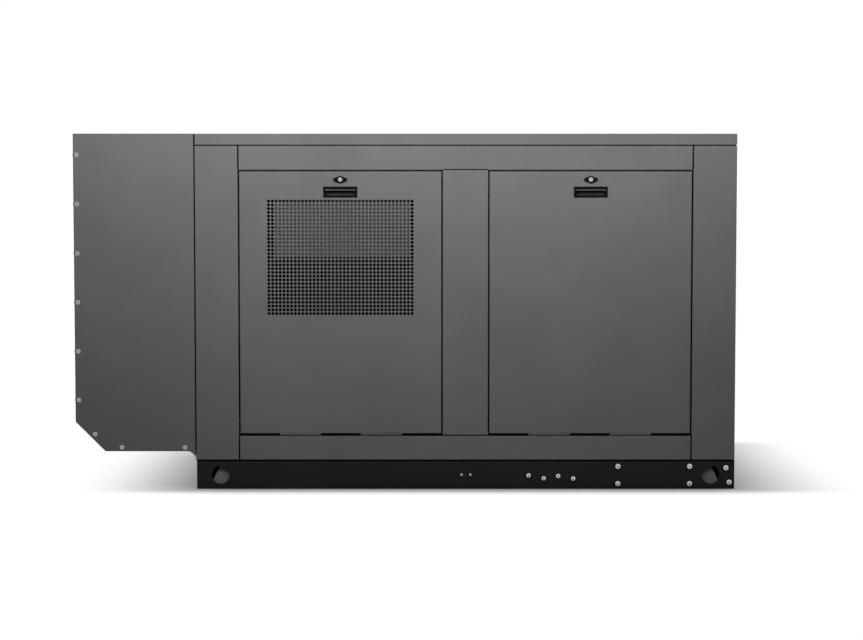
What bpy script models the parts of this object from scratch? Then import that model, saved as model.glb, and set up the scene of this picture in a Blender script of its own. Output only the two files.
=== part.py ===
"""Liquid-cooled standby generator in a sheet-steel enclosure.

Metres, +Z up, front of the machine towards -Y. The origin is the middle of the ground footprint.
The radiator discharge plenum is at -X, the air-inlet end at +X.
"""
import math

import bmesh
import bpy

# ---------------------------------------------------------------- driving dimensions, metres
TOTAL_LENGTH = 2.360
PLENUM_LENGTH = 0.430
DEPTH = 1.000
HEIGHT = 1.270

SHEET = 0.0025            # enclosure sheet steel
GAP = 0.0003              # air left between two faces that touch
LAP = 0.010               # how far joined lumps run into, and cuts run past, a face
SEAM = 0.003              # open joint between neighbouring cover pieces
FRAME_DEPTH = 0.045       # how far posts, headers and sills fold inwards
JOGGLE_DEPTH = 0.012      # depth at which a post steps sideways to meet the header and sill

BASE_HEIGHT = 0.102
CHANNEL_WALL = 0.006
CHANNEL_FLANGE = 0.050
LIFT_HOLE_RADIUS = 0.032
LIFT_HOLE_INSET = 0.085
ENGINE_CROSSMEMBER = 0.270         # behind the engine's fan end
ALTERNATOR_CROSSMEMBER = 0.418    # from the inlet end
INLET_CROSSMEMBER = 0.161
CROSSMEMBER_WIDTH = 0.060
PAN_SHEET = 0.003

SILL_HEIGHT = 0.088
HEADER_HEIGHT = 0.084
FASCIA_HEIGHT = 0.0395
CORNER_POST_WIDTH = 0.156
CENTRE_POST_WIDTH = 0.164

PLENUM_BOTTOM = 0.136
PLENUM_CHAMFER = 0.106
PLENUM_FILLET = 0.030
PLENUM_FLANGE = 0.025
GRILLE_DEPTH = 0.012
GRILLE_BORDER = 0.030
GRILLE_BARS = 9
GRILLE_BAR = 0.012

DOOR_GAP = 0.005
DOOR_DEPTH = 0.025
HINGE_TAB_LENGTH = 0.147
HINGE_TAB_OFFSET = 0.145
HINGE_NECK = 0.002
KEEPER = 0.002
KEEPER_HEIGHT = 0.004
LINER_INSET = 0.006
LINER_THICKNESS = 0.020
LINER_CLEARANCE = 0.012

CUP_WIDTH = 0.121
CUP_HEIGHT = 0.039
CUP_BELOW_TOP = 0.056
CUP_RIM = 0.005
CUP_WALL = 0.002
CUP_DEPTH = 0.019
CUP_PROUD = 0.0015
CUP_LIP = 0.004

LATCH_BELOW_TOP = 0.031
LATCH_WIDTH = 0.048
LATCH_HEIGHT = 0.026
LATCH_BOSS_RADIUS = 0.010
LATCH_TIP = 0.35          # end height of the wing as a share of its middle
LATCH_PROUD = 0.008
LATCH_SHAFT = 0.005
CAM_LENGTH = 0.052
CAM_WIDTH = 0.014
CAM_THICKNESS = 0.003
RUNNING_GAP = 0.0005

FIELD_WIDTH = 0.523       # air-inlet field of the inlet doors
FIELD_HEIGHT = 0.410
FIELD_BELOW_TOP = 0.103
FIELD_COLUMNS = 8
FIELD_ROWS = 6
FIELD_BAR = 0.014
BAFFLE_SHEET = 0.0015
BAFFLE_STANDOFF = 0.016
BAFFLE_LEFT_INSET = 0.026
BAFFLE_RIGHT_INSET = 0.013
BAFFLE_OVERLAP = 0.012

LOUVRE_COUNT = 12
LOUVRE_HEIGHT = 0.028
LOUVRE_FIELD_INSET = 0.070

BULKHEAD_INSET = 0.012
RADIATOR_SIDE_ROOM = 0.150        # left beside the radiator for the exhaust pipe
RADIATOR_CHANNEL = 0.015
RADIATOR_LEG = 0.030
RADIATOR_THICKNESS = 0.082
RADIATOR_BOTTOM = 0.240
RADIATOR_TOP = 1.100
RADIATOR_STANDOFF = 0.008
WINDOW_LAP = 0.020                # bulkhead edge in front of the radiator
SHROUD_DEPTH = 0.075
SHROUD_INSET = 0.015
FAN_EDGE = 0.065                  # shroud sheet left outside the fan's sweep
FAN_TIP_CLEARANCE = 0.015
FAN_BLADES = 6
FAN_CHORD = 0.070
FAN_PITCH = math.radians(35)
FAN_BLADE_SHEET = 0.004
FAN_HEIGHT = 0.660
FAN_PULLEY_RADIUS = 0.060
FAN_HUB_RADIUS = 0.045
FAN_SHAFT_RADIUS = 0.0125
FAN_SHAFT_ROOM = 0.002
FAN_HUB_STEP = 0.003
FAN_HUB_AHEAD = 0.030
BLADE_ROOT = 0.7          # root radius as a share of the hub radius
ROOT_CHORD = 0.55         # root width as a share of the tip width

CRANK_HEIGHT = 0.360
CRANK_PULLEY_RADIUS = 0.070
CRANK_SHAFT_RADIUS = 0.030
CRANK_FLANGE_RADIUS = 0.070
CRANK_FLANGE_ROOM = 0.006
PULLEY_RIM = 0.008
PULLEY_CHEEK = 0.004
BELT_WIDTH = 0.013
BELT_THICKNESS = 0.007
BELT_SIDE_GAP = 0.0005
BELT_OFFSET = 0.024               # belt plane in front of the timing cover

ENGINE_TO_RADIATOR = 0.160
ENGINE_LENGTH = 0.520
COVER_THICKNESS = 0.025
COVER_INSET = 0.010
COVER_RAISE = 0.005
CASE_STEP = 0.001
CASE_HALF_WIDTH = 0.165
BLOCK_HALF_WIDTH = 0.130
CASE_BOTTOM = 0.290
CASE_TOP = 0.500
BLOCK_TOP = 0.620
HEAD_HALF_WIDTH = 0.120
HEAD_TOP = 0.700
ROCKER_HALF_WIDTH = 0.080
ROCKER_STEP = 0.006
ROCKER_TOP = 0.800
SUMP_BOTTOM = 0.150
SUMP_HALF_WIDTH = 0.140
SUMP_TAPER = 0.035
BELL_RADIUS = 0.200
BELL_LENGTH = 0.060
MOUNT_OFFSETS = (0.130, 0.410)    # engine feet behind the engine's fan end
MOUNT_WIDTH = 0.060
MOUNT_REACH = 0.270
MOUNT_HEIGHT = 0.370
MOUNT_WALL = 0.030
MOUNT_LEG = 0.060

ALTERNATOR_LENGTH = 0.520
ALTERNATOR_RADIUS = 0.200
ALTERNATOR_BORE = 0.155
ALTERNATOR_END_WALL = 0.040
ALTERNATOR_FOOT_OFFSETS = (0.070, 0.400)
ALTERNATOR_FOOT_Y = (0.110, 0.180)
ALTERNATOR_FOOT_TOP = 0.090       # below the shaft line
ROTOR_RADIUS = 0.140
ROTOR_LENGTH = 0.400
ROTOR_SHAFT_RADIUS = 0.020

AIR_CLEANER_RADIUS = 0.090
AIR_CLEANER_OFFSETS = (0.180, 0.500)
AIR_CLEANER_HEIGHT = 0.940
AIR_CLEANER_STEM = 0.030

EXHAUST_HEIGHT = 0.665
LOG_Y = 0.190
LOG_RADIUS = 0.032
LOG_INSET = 0.040
PIPE_INSET = 0.080                # pipe centre behind the rear face
PIPE_RADIUS = 0.025
PIPE_FIT = 0.99
ELBOW_SHARE = 0.9
PIPE_SLEEVE = 0.008
RUNNERS = 4
RUNNER_WIDTH = 0.040
RUNNER_HEIGHT = 0.036
MUFFLER_RADIUS = 0.100
MUFFLER_INSETS = (0.080, 0.055)   # muffler ends behind the front and rear faces
MUFFLER_STUB = 0.065
MUFFLER_BRACKET_ROOM = 0.012      # bracket beside the radiator window
MUFFLER_BRACKET = 0.030
OUTLET_INSET = 0.200
OUTLET_RADIUS = 0.030
OUTLET_BELOW_GRILLE = 0.010

BATTERY_SIZE = (0.260, 0.172, 0.200)
BATTERY_INSETS = (0.350, 0.225)   # centre from the inlet end and the front face
TERMINAL_RADIUS = 0.009
TERMINAL_HEIGHT = 0.016
TERMINAL_SEAT = 0.005
TERMINAL_INSET = 0.035

BOX_WIDTH = 0.360
BOX_END_INSET = 0.200             # control box from the inlet end
BOX_FACE = 0.140          # control box face behind the enclosure's front face
BOX_DEPTH = 0.220
BOX_Z = (0.720, 1.060)
BOX_LEG = 0.024
CONTROL_HEIGHT = 0.800    # the row of hand controls
SELECTOR_PLACE = 0.080            # along the control box from its left side
SELECTOR_RADIUS = 0.018
SELECTOR_DEPTH = 0.012
SELECTOR_STEM = 0.006
GRIP_HALF_WIDTH = 0.005
GRIP_HALF_HEIGHT = 0.0162
GRIP_PROUD = 0.026
STEM_SEAT = 0.006
STOP_PLACE = 0.180
STOP_RADIUS = 0.020
STOP_STEM = 0.008
STOP_DEPTH = 0.014
STOP_ROOM = 0.004
STOP_TRAVEL = 0.006
TOGGLE_PLACE = 0.280
TOGGLE_WIDTH = 0.022
TOGGLE_TILT = math.radians(25)
TOGGLE_SLOT_DEPTH = 0.022
TOGGLE_SLOT_HALF = 0.030
TOGGLE_HUB = 0.008
TOGGLE_ROOM = 0.002
TOGGLE_ROOT_HALF = 0.004
TOGGLE_TIP_HALF = 0.003
TOGGLE_INSET = 0.003
TOGGLE_LENGTH = 0.032
STEM_CLEARANCE = 0.0006

ROUND = 24                # sides of a turned piece
SMALL_ROUND = 12

# ---------------------------------------------------------------- derived places
LEFT = -TOTAL_LENGTH / 2
RIGHT = TOTAL_LENGTH / 2
JOINT = LEFT + PLENUM_LENGTH
FACE = DEPTH / 2
BASE_LEFT = JOINT + SEAM
SILL_TOP = BASE_HEIGHT + GAP + SILL_HEIGHT
FASCIA_BOTTOM = HEIGHT - FASCIA_HEIGHT
HEADER_TOP = FASCIA_BOTTOM - SEAM
HEADER_BOTTOM = HEADER_TOP - HEADER_HEIGHT
DOOR_BOTTOM = SILL_TOP + DOOR_GAP
DOOR_TOP = HEADER_BOTTOM - DOOR_GAP
DOOR_WIDTH = (RIGHT - JOINT - 2 * CORNER_POST_WIDTH - CENTRE_POST_WIDTH) / 2
LINE_LEFT = JOINT + CORNER_POST_WIDTH
LINE_CENTRE_LEFT = LINE_LEFT + DOOR_WIDTH
LINE_CENTRE_RIGHT = LINE_CENTRE_LEFT + CENTRE_POST_WIDTH
LINE_RIGHT = RIGHT - CORNER_POST_WIDTH
FLOOR = BASE_HEIGHT - CHANNEL_WALL + PAN_SHEET + GAP    # top of the floor pan + contact gap
BEAD_RADIUS = DOOR_GAP / 2 - GAP
HINGE_Z = SILL_TOP + DOOR_GAP / 2
BULKHEAD_HALF = SEAM / 2 - GAP
RADIATOR_FRONT = JOINT + RADIATOR_STANDOFF
RADIATOR_BACK = RADIATOR_FRONT + RADIATOR_THICKNESS
RADIATOR_HALF_WIDTH = FACE - RADIATOR_SIDE_ROOM
FAN_RADIUS = RADIATOR_HALF_WIDTH - SHROUD_INSET - FAN_EDGE
ENGINE_FRONT = RADIATOR_BACK + ENGINE_TO_RADIATOR
ENGINE_BACK = ENGINE_FRONT + ENGINE_LENGTH
BELT_CENTRE_X = ENGINE_FRONT - COVER_THICKNESS - BELT_OFFSET
CROSSMEMBERS = {"engine": ENGINE_FRONT + ENGINE_CROSSMEMBER,
                "alternator": RIGHT - ALTERNATOR_CROSSMEMBER,
                "inlet": RIGHT - INLET_CROSSMEMBER}
PIPE_Y = FACE - PIPE_INSET
MUFFLER_X = LEFT + PLENUM_LENGTH / 2
BOX_X = (RIGHT - BOX_END_INSET - BOX_WIDTH, RIGHT - BOX_END_INSET)
BOX_FACE_Y = -FACE + BOX_FACE
SELECTOR_X = BOX_X[0] + SELECTOR_PLACE
STOP_X = BOX_X[0] + STOP_PLACE
TOGGLE_X = BOX_X[0] + TOGGLE_PLACE
WINDOW_HALF = RADIATOR_HALF_WIDTH - WINDOW_LAP / 2
WINDOW_Z = (RADIATOR_BOTTOM + WINDOW_LAP, RADIATOR_TOP - WINDOW_LAP)
BELL_BACK = ENGINE_BACK + BELL_LENGTH
SIDES = {"front": -1, "rear": 1}


# ---------------------------------------------------------------- shapes: (points, faces)
def prism(outline, axis, start, end):
    """A flat outline pushed along an axis; its two numbers are the other axes in X, Y, Z order."""
    place = {"X": lambda u, v, w: (w, u, v),
             "Y": lambda u, v, w: (u, w, v),
             "Z": lambda u, v, w: (u, v, w)}[axis]
    count = len(outline)
    points = [place(u, v, start) for u, v in outline]
    points += [place(u, v, end) for u, v in outline]
    faces = [tuple(range(count)), tuple(range(2 * count - 1, count - 1, -1))]
    for i in range(count):
        j = (i + 1) % count
        faces.append((i, j, count + j, count + i))
    return points, faces


def box(x, y, z):
    return prism([(x[0], y[0]), (x[1], y[0]), (x[1], y[1]), (x[0], y[1])], "Z", z[0], z[1])


def ring(u, v, radius, sides, turn=0.5):
    """Points of a regular polygon on a circle, with a flat at the bottom."""
    steps = [2 * math.pi * (i + turn) / sides for i in range(sides)]
    return [(u + radius * math.sin(a), v - radius * math.cos(a)) for a in steps]


def rod(axis, centre, radius, start, end, sides=ROUND):
    return prism(ring(centre[0], centre[1], radius, sides), axis, start, end)


def turned(profile, centre, sides=ROUND):
    """A profile of (x, radius) steps turned about an axis along X through centre (y, z)."""
    points = []
    for x, radius in profile:
        points += [(x, y, z) for y, z in ring(centre[0], centre[1], radius, sides)]
    faces = [tuple(range(sides))]
    for step in range(len(profile) - 1):
        low = step * sides
        for i in range(sides):
            j = (i + 1) % sides
            faces.append((low + i, low + j, low + sides + j, low + sides + i))
    faces.append(tuple(range(len(points) - 1, len(points) - sides - 1, -1)))
    return points, faces


def across(side, depth):
    """Y of a point at a depth behind the front (-1) or rear (+1) face."""
    return side * (FACE - depth)


def span(side, near, far):
    """The Y range between two depths behind a face, lowest first."""
    return tuple(sorted((across(side, near), across(side, far))))


def arc(u, v, radius, first, last, steps):
    angles = [math.radians(first + (last - first) * i / steps) for i in range(steps + 1)]
    return [(u + radius * math.cos(a), v + radius * math.sin(a)) for a in angles]


# ---------------------------------------------------------------- objects
def clear_scene():
    for thing in list(bpy.data.objects):
        bpy.data.objects.remove(thing, do_unlink=True)


def finish(name, colour, roughness, metallic):
    paint = bpy.data.materials.new(name)
    paint.use_nodes = True
    shader = paint.node_tree.nodes["Principled BSDF"]
    shader.inputs["Base Color"].default_value = (*colour, 1.0)
    shader.inputs["Roughness"].default_value = roughness
    shader.inputs["Metallic"].default_value = metallic
    return paint


FINISHES = {
    "charcoal": ((0.115, 0.116, 0.118), 0.45, 0.1),
    "black_frame": ((0.012, 0.012, 0.013), 0.40, 0.2),
    "black_plastic": ((0.015, 0.015, 0.016), 0.50, 0.0),
    "foam": ((0.030, 0.030, 0.032), 0.95, 0.0),
    "galvanised": ((0.450, 0.460, 0.470), 0.45, 0.9),
    "engine_paint": ((0.060, 0.065, 0.070), 0.50, 0.3),
    "aluminium": ((0.600, 0.600, 0.610), 0.35, 1.0),
    "cast": ((0.120, 0.115, 0.110), 0.70, 0.6),
    "hot_steel": ((0.280, 0.250, 0.220), 0.50, 0.9),
    "rubber": ((0.020, 0.020, 0.020), 0.80, 0.0),
    "steel": ((0.500, 0.500, 0.510), 0.30, 1.0),
    "copper": ((0.450, 0.220, 0.120), 0.40, 0.8),
    "red": ((0.550, 0.020, 0.015), 0.35, 0.0),
    "box_grey": ((0.250, 0.255, 0.260), 0.45, 0.1),
}


def mesh_object(name, shapes, pivot=(0.0, 0.0, 0.0)):
    """An object holding one or more closed shapes, its origin at the pivot."""
    bm = bmesh.new()
    for points, faces in shapes:
        made = [bm.verts.new([p - c for p, c in zip(point, pivot)]) for point in points]
        for face in faces:
            bm.faces.new([made[i] for i in face])
    bmesh.ops.recalc_face_normals(bm, faces=bm.faces)
    mesh = bpy.data.meshes.new(name)
    bm.to_mesh(mesh)
    bm.free()
    thing = bpy.data.objects.new(name, mesh)
    thing.location = pivot
    bpy.context.scene.collection.objects.link(thing)
    return thing


def boolean(target, shapes, operation, label):
    """Joins shapes to, or cuts them from, a target; the shapes of one call don't meet."""
    tool = mesh_object(f"{target.name}_{label}", shapes)
    tool.hide_render = True
    tool.display_type = "WIRE"
    step = target.modifiers.new(label, "BOOLEAN")
    step.operation = operation
    step.object = tool


def piece(name, shape, paint, joined=(), hollow=(), cuts=(), pivot=(0.0, 0.0, 0.0), smooth=False):
    """One named sub-part: a first shape, shapes joined to it, then what is cut away."""
    thing = mesh_object(name, [shape], pivot)
    for number, other in enumerate(joined):
        boolean(thing, [other], "UNION", f"join{number}")
    if hollow:
        boolean(thing, hollow, "DIFFERENCE", "hollow")
    if cuts:
        boolean(thing, cuts, "DIFFERENCE", "cuts")
    colour, roughness, metallic = FINISHES[paint]
    thing.data.materials.append(finish(name, colour, roughness, metallic))
    if smooth:
        thing.data.shade_smooth()
        thing.data.set_sharp_from_angle(angle=math.radians(40))
    return thing


def joint_frame(name, pivot, children):
    """An empty on a joint's axis that carries every piece of one moving body."""
    frame = bpy.data.objects.new(name, None)
    frame.location = pivot
    bpy.context.scene.collection.objects.link(frame)
    for child in children:
        child.parent = frame
        child.location = [c - p for c, p in zip(child.location, pivot)]


# ---------------------------------------------------------------- base frame
def channel(web, tip, low, high, wall):
    """C-section outline: a web at one side, two flanges reaching to the tip."""
    inner = web + math.copysign(wall, tip - web)
    return [(web, low), (tip, low), (tip, low + wall), (inner, low + wall),
            (inner, high - wall), (tip, high - wall), (tip, high), (web, high)]


def base_frame():
    holes_x = (BASE_LEFT + LIFT_HOLE_INSET, RIGHT - LIFT_HOLE_INSET)
    for label, side in SIDES.items():
        section = channel(across(side, 0), across(side, CHANNEL_FLANGE), 0, BASE_HEIGHT, CHANNEL_WALL)
        low, high = span(side, -CHANNEL_WALL, 2 * CHANNEL_WALL)
        holes = [rod("Y", (x, BASE_HEIGHT / 2), LIFT_HOLE_RADIUS, low, high) for x in holes_x]
        piece(f"base_rail_{label}", prism(section, "X", BASE_LEFT, RIGHT), "black_frame", cuts=holes)
    nest = (CHANNEL_WALL + GAP, BASE_HEIGHT - CHANNEL_WALL - GAP)
    reach = FACE - CHANNEL_WALL - GAP
    ends = {"base_end_left": (BASE_LEFT, BASE_LEFT + CHANNEL_FLANGE),
            "base_end_right": (RIGHT, RIGHT - CHANNEL_FLANGE)}
    for name, (web, tip) in ends.items():
        section = channel(web, tip, nest[0], nest[1], CHANNEL_WALL)
        piece(name, prism(section, "Y", -reach, reach), "black_frame")
    for name, x in CROSSMEMBERS.items():
        section = channel(x - CROSSMEMBER_WIDTH / 2, x + CROSSMEMBER_WIDTH / 2, nest[0], nest[1],
                          CHANNEL_WALL)
        piece(f"crossmember_{name}", prism(section, "Y", -reach, reach), "black_frame")
    edge = FACE - CHANNEL_FLANGE - GAP
    piece("floor_pan", box((BASE_LEFT, RIGHT), (-edge, edge),
                           (FLOOR - GAP - PAN_SHEET, FLOOR - GAP)), "black_frame")


# ---------------------------------------------------------------- enclosure frame
def corner_section(outer, inner, side):
    """Post folded at its outer edge, stepped at the door edge to meet header and sill ends."""
    way = math.copysign(1, inner - outer)
    step = inner + way * (SEAM - GAP)
    t = SHEET
    outline = [(outer, 0), (inner, 0), (inner, JOGGLE_DEPTH), (step, JOGGLE_DEPTH),
               (step, FRAME_DEPTH), (step - way * t, FRAME_DEPTH),
               (step - way * t, JOGGLE_DEPTH + t), (inner - way * t, JOGGLE_DEPTH + t),
               (inner - way * t, t), (outer + way * t, t),
               (outer + way * t, FRAME_DEPTH), (outer, FRAME_DEPTH)]
    return [(x, across(side, depth)) for x, depth in outline]


def lay_channel(side, low, high):
    """Header or sill section in (y, z), its web on the outer face."""
    return channel(across(side, 0), across(side, FRAME_DEPTH), low, high, SHEET)


def hinge_centres(opening):
    middle = (opening[0] + opening[1]) / 2
    return (middle - HINGE_TAB_OFFSET, middle + HINGE_TAB_OFFSET)


def openings():
    return {"left": (LINE_LEFT, LINE_CENTRE_LEFT), "right": (LINE_CENTRE_RIGHT, LINE_RIGHT)}


def enclosure_frame():
    foot = BASE_HEIGHT + GAP
    half = SEAM / 2
    for label, side in SIDES.items():
        left = corner_section(JOINT + half, LINE_LEFT - half, side)
        piece(f"post_left_{label}", prism(left, "Z", foot, HEADER_TOP), "charcoal")
        right = corner_section(RIGHT, LINE_RIGHT + half, side)
        piece(f"post_right_{label}", prism(right, "Z", foot, HEADER_TOP), "charcoal")
        y_out, y_in = across(side, 0), across(side, FRAME_DEPTH)
        centre = [(x, y) for y, x in channel(y_out, y_in, LINE_CENTRE_LEFT + half,
                                             LINE_CENTRE_RIGHT - half, SHEET)]
        piece(f"post_centre_{label}", prism(centre, "Z", SILL_TOP + GAP, HEADER_BOTTOM - GAP),
              "charcoal")
        ends = (LINE_LEFT + half, LINE_RIGHT - half)
        # the header's top flange steps up at the joggle depth to carry the roof's turned-in edge
        header = prism(lay_channel(side, HEADER_BOTTOM, HEADER_TOP), "X", *ends)
        rise = box(ends, span(side, JOGGLE_DEPTH, FRAME_DEPTH),
                   (HEADER_TOP - SHEET, FASCIA_BOTTOM - GAP))
        piece(f"header_{label}", header, "charcoal", joined=[rise])
        keepers = []
        for opening in openings().values():
            for x in hinge_centres(opening):
                keepers.append(box((x - HINGE_TAB_LENGTH / 2, x + HINGE_TAB_LENGTH / 2),
                                   span(side, 2 * BEAD_RADIUS + GAP, 2 * BEAD_RADIUS + GAP + KEEPER),
                                   (SILL_TOP - SHEET / 2, SILL_TOP + KEEPER_HEIGHT)))
        piece(f"sill_{label}", prism(lay_channel(side, foot, SILL_TOP), "X", *ends), "charcoal",
              joined=keepers)


def roof():
    start = JOINT + SEAM / 2
    outer = box((start, RIGHT), (-FACE, FACE), (FASCIA_BOTTOM, HEIGHT))
    inside = box((start + SHEET, RIGHT - SHEET), (-FACE + SHEET, FACE - SHEET),
                 (FASCIA_BOTTOM + SHEET, HEIGHT - SHEET))
    mouth = box((start + FRAME_DEPTH, RIGHT - FRAME_DEPTH), (-FACE + FRAME_DEPTH, FACE - FRAME_DEPTH),
                (FASCIA_BOTTOM - SHEET, FASCIA_BOTTOM + 2 * SHEET))
    piece("roof_panel", outer, "charcoal", hollow=[inside], cuts=[mouth])


def end_panel():
    """Air-inlet end: a flat sheet with stepped-back side lips behind the corner posts."""
    edge = FACE - FRAME_DEPTH - SEAM
    lip = FACE - 2 * JOGGLE_DEPTH
    back = RIGHT - SHEET - GAP
    outline = [(RIGHT, -edge), (RIGHT, edge), (back, edge), (back, lip), (back - SHEET, lip),
               (back - SHEET, -lip), (back, -lip), (back, -edge)]
    foot = BASE_HEIGHT + GAP
    low, high = foot + LOUVRE_FIELD_INSET, HEADER_TOP - LOUVRE_FIELD_INSET
    pitch = (high - low) / LOUVRE_COUNT
    half = edge - LOUVRE_FIELD_INSET
    slots = []
    for row in range(LOUVRE_COUNT):
        middle = low + (row + 0.5) * pitch
        for y in ((-half, -LOUVRE_HEIGHT / 2), (LOUVRE_HEIGHT / 2, half)):
            slots.append(box((back - 2 * SHEET, RIGHT + SHEET), y,
                             (middle - LOUVRE_HEIGHT / 2, middle + LOUVRE_HEIGHT / 2)))
    piece("inlet_end_panel", prism(outline, "Z", foot, FASCIA_BOTTOM - GAP), "charcoal", cuts=slots)


def bulkhead():
    """Sheet between plenum and enclosure, open for the radiator and the exhaust pipe."""
    x = (JOINT - BULKHEAD_HALF, JOINT + BULKHEAD_HALF)
    reach = FACE - BULKHEAD_INSET
    past = (x[0] - SHEET, x[1] + SHEET)
    window = box(past, (-WINDOW_HALF, WINDOW_HALF), WINDOW_Z)
    pipe = rod("X", (PIPE_Y, EXHAUST_HEIGHT), PIPE_RADIUS + PIPE_SLEEVE, *past)
    piece("radiator_bulkhead", box(x, (-reach, reach), (BASE_HEIGHT + SHEET, HEADER_TOP)),
          "charcoal", cuts=[window, pipe])


# ---------------------------------------------------------------- plenum
def plenum():
    right = JOINT - SEAM / 2
    top = HEIGHT - SHEET
    fillet = arc(right - PLENUM_FILLET, PLENUM_BOTTOM - PLENUM_FILLET, PLENUM_FILLET, 90, 0, 6)
    panel = [(LEFT, HEIGHT), (LEFT, PLENUM_BOTTOM + PLENUM_CHAMFER),
             (LEFT + PLENUM_CHAMFER, PLENUM_BOTTOM)] + fillet + [(right, HEIGHT)]
    for label, side in SIDES.items():
        flange = box((right - SHEET, right), span(side, SHEET / 2, PLENUM_FLANGE),
                     (PLENUM_BOTTOM, HEADER_TOP))
        piece(f"plenum_{label}_panel", prism(panel, "Y", *span(side, 0, SHEET)), "charcoal",
              joined=[flange])
    slope = SHEET * math.tan(math.radians(22.5))
    inner_fillet = arc(right - PLENUM_FILLET, PLENUM_BOTTOM - PLENUM_FILLET, PLENUM_FILLET + SHEET,
                       90, 25, 5)
    outer_fillet = arc(right - PLENUM_FILLET, PLENUM_BOTTOM - PLENUM_FILLET, PLENUM_FILLET, 25, 90, 5)
    wrap = [(LEFT, top), (LEFT + SHEET, top),
            (LEFT + SHEET, PLENUM_BOTTOM + PLENUM_CHAMFER + slope),
            (LEFT + PLENUM_CHAMFER + slope, PLENUM_BOTTOM + SHEET)]
    wrap += inner_fillet + outer_fillet
    wrap += [(LEFT + PLENUM_CHAMFER, PLENUM_BOTTOM), (LEFT, PLENUM_BOTTOM + PLENUM_CHAMFER)]
    reach = FACE - SHEET - GAP
    piece("plenum_wrap", prism(wrap, "Y", -reach, reach), "charcoal")

    grille_x = (LEFT + SHEET + GAP, right - GAP)
    grille_z = (HEIGHT - GRILLE_DEPTH, HEIGHT - GAP)
    inner_x = (grille_x[0] + GRILLE_BORDER, grille_x[1] - GRILLE_BORDER)
    inner_y = reach - GRILLE_BORDER
    pitch = (2 * inner_y + GRILLE_BAR) / (GRILLE_BARS + 1)
    slots = []
    for i in range(GRILLE_BARS + 1):
        start = -inner_y + i * pitch
        slots.append(box(inner_x, (start, start + pitch - GRILLE_BAR),
                         (grille_z[0] - SHEET, grille_z[1] + SHEET)))
    piece("plenum_grille", box(grille_x, (-reach, reach), grille_z), "black_frame", cuts=slots)


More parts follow.
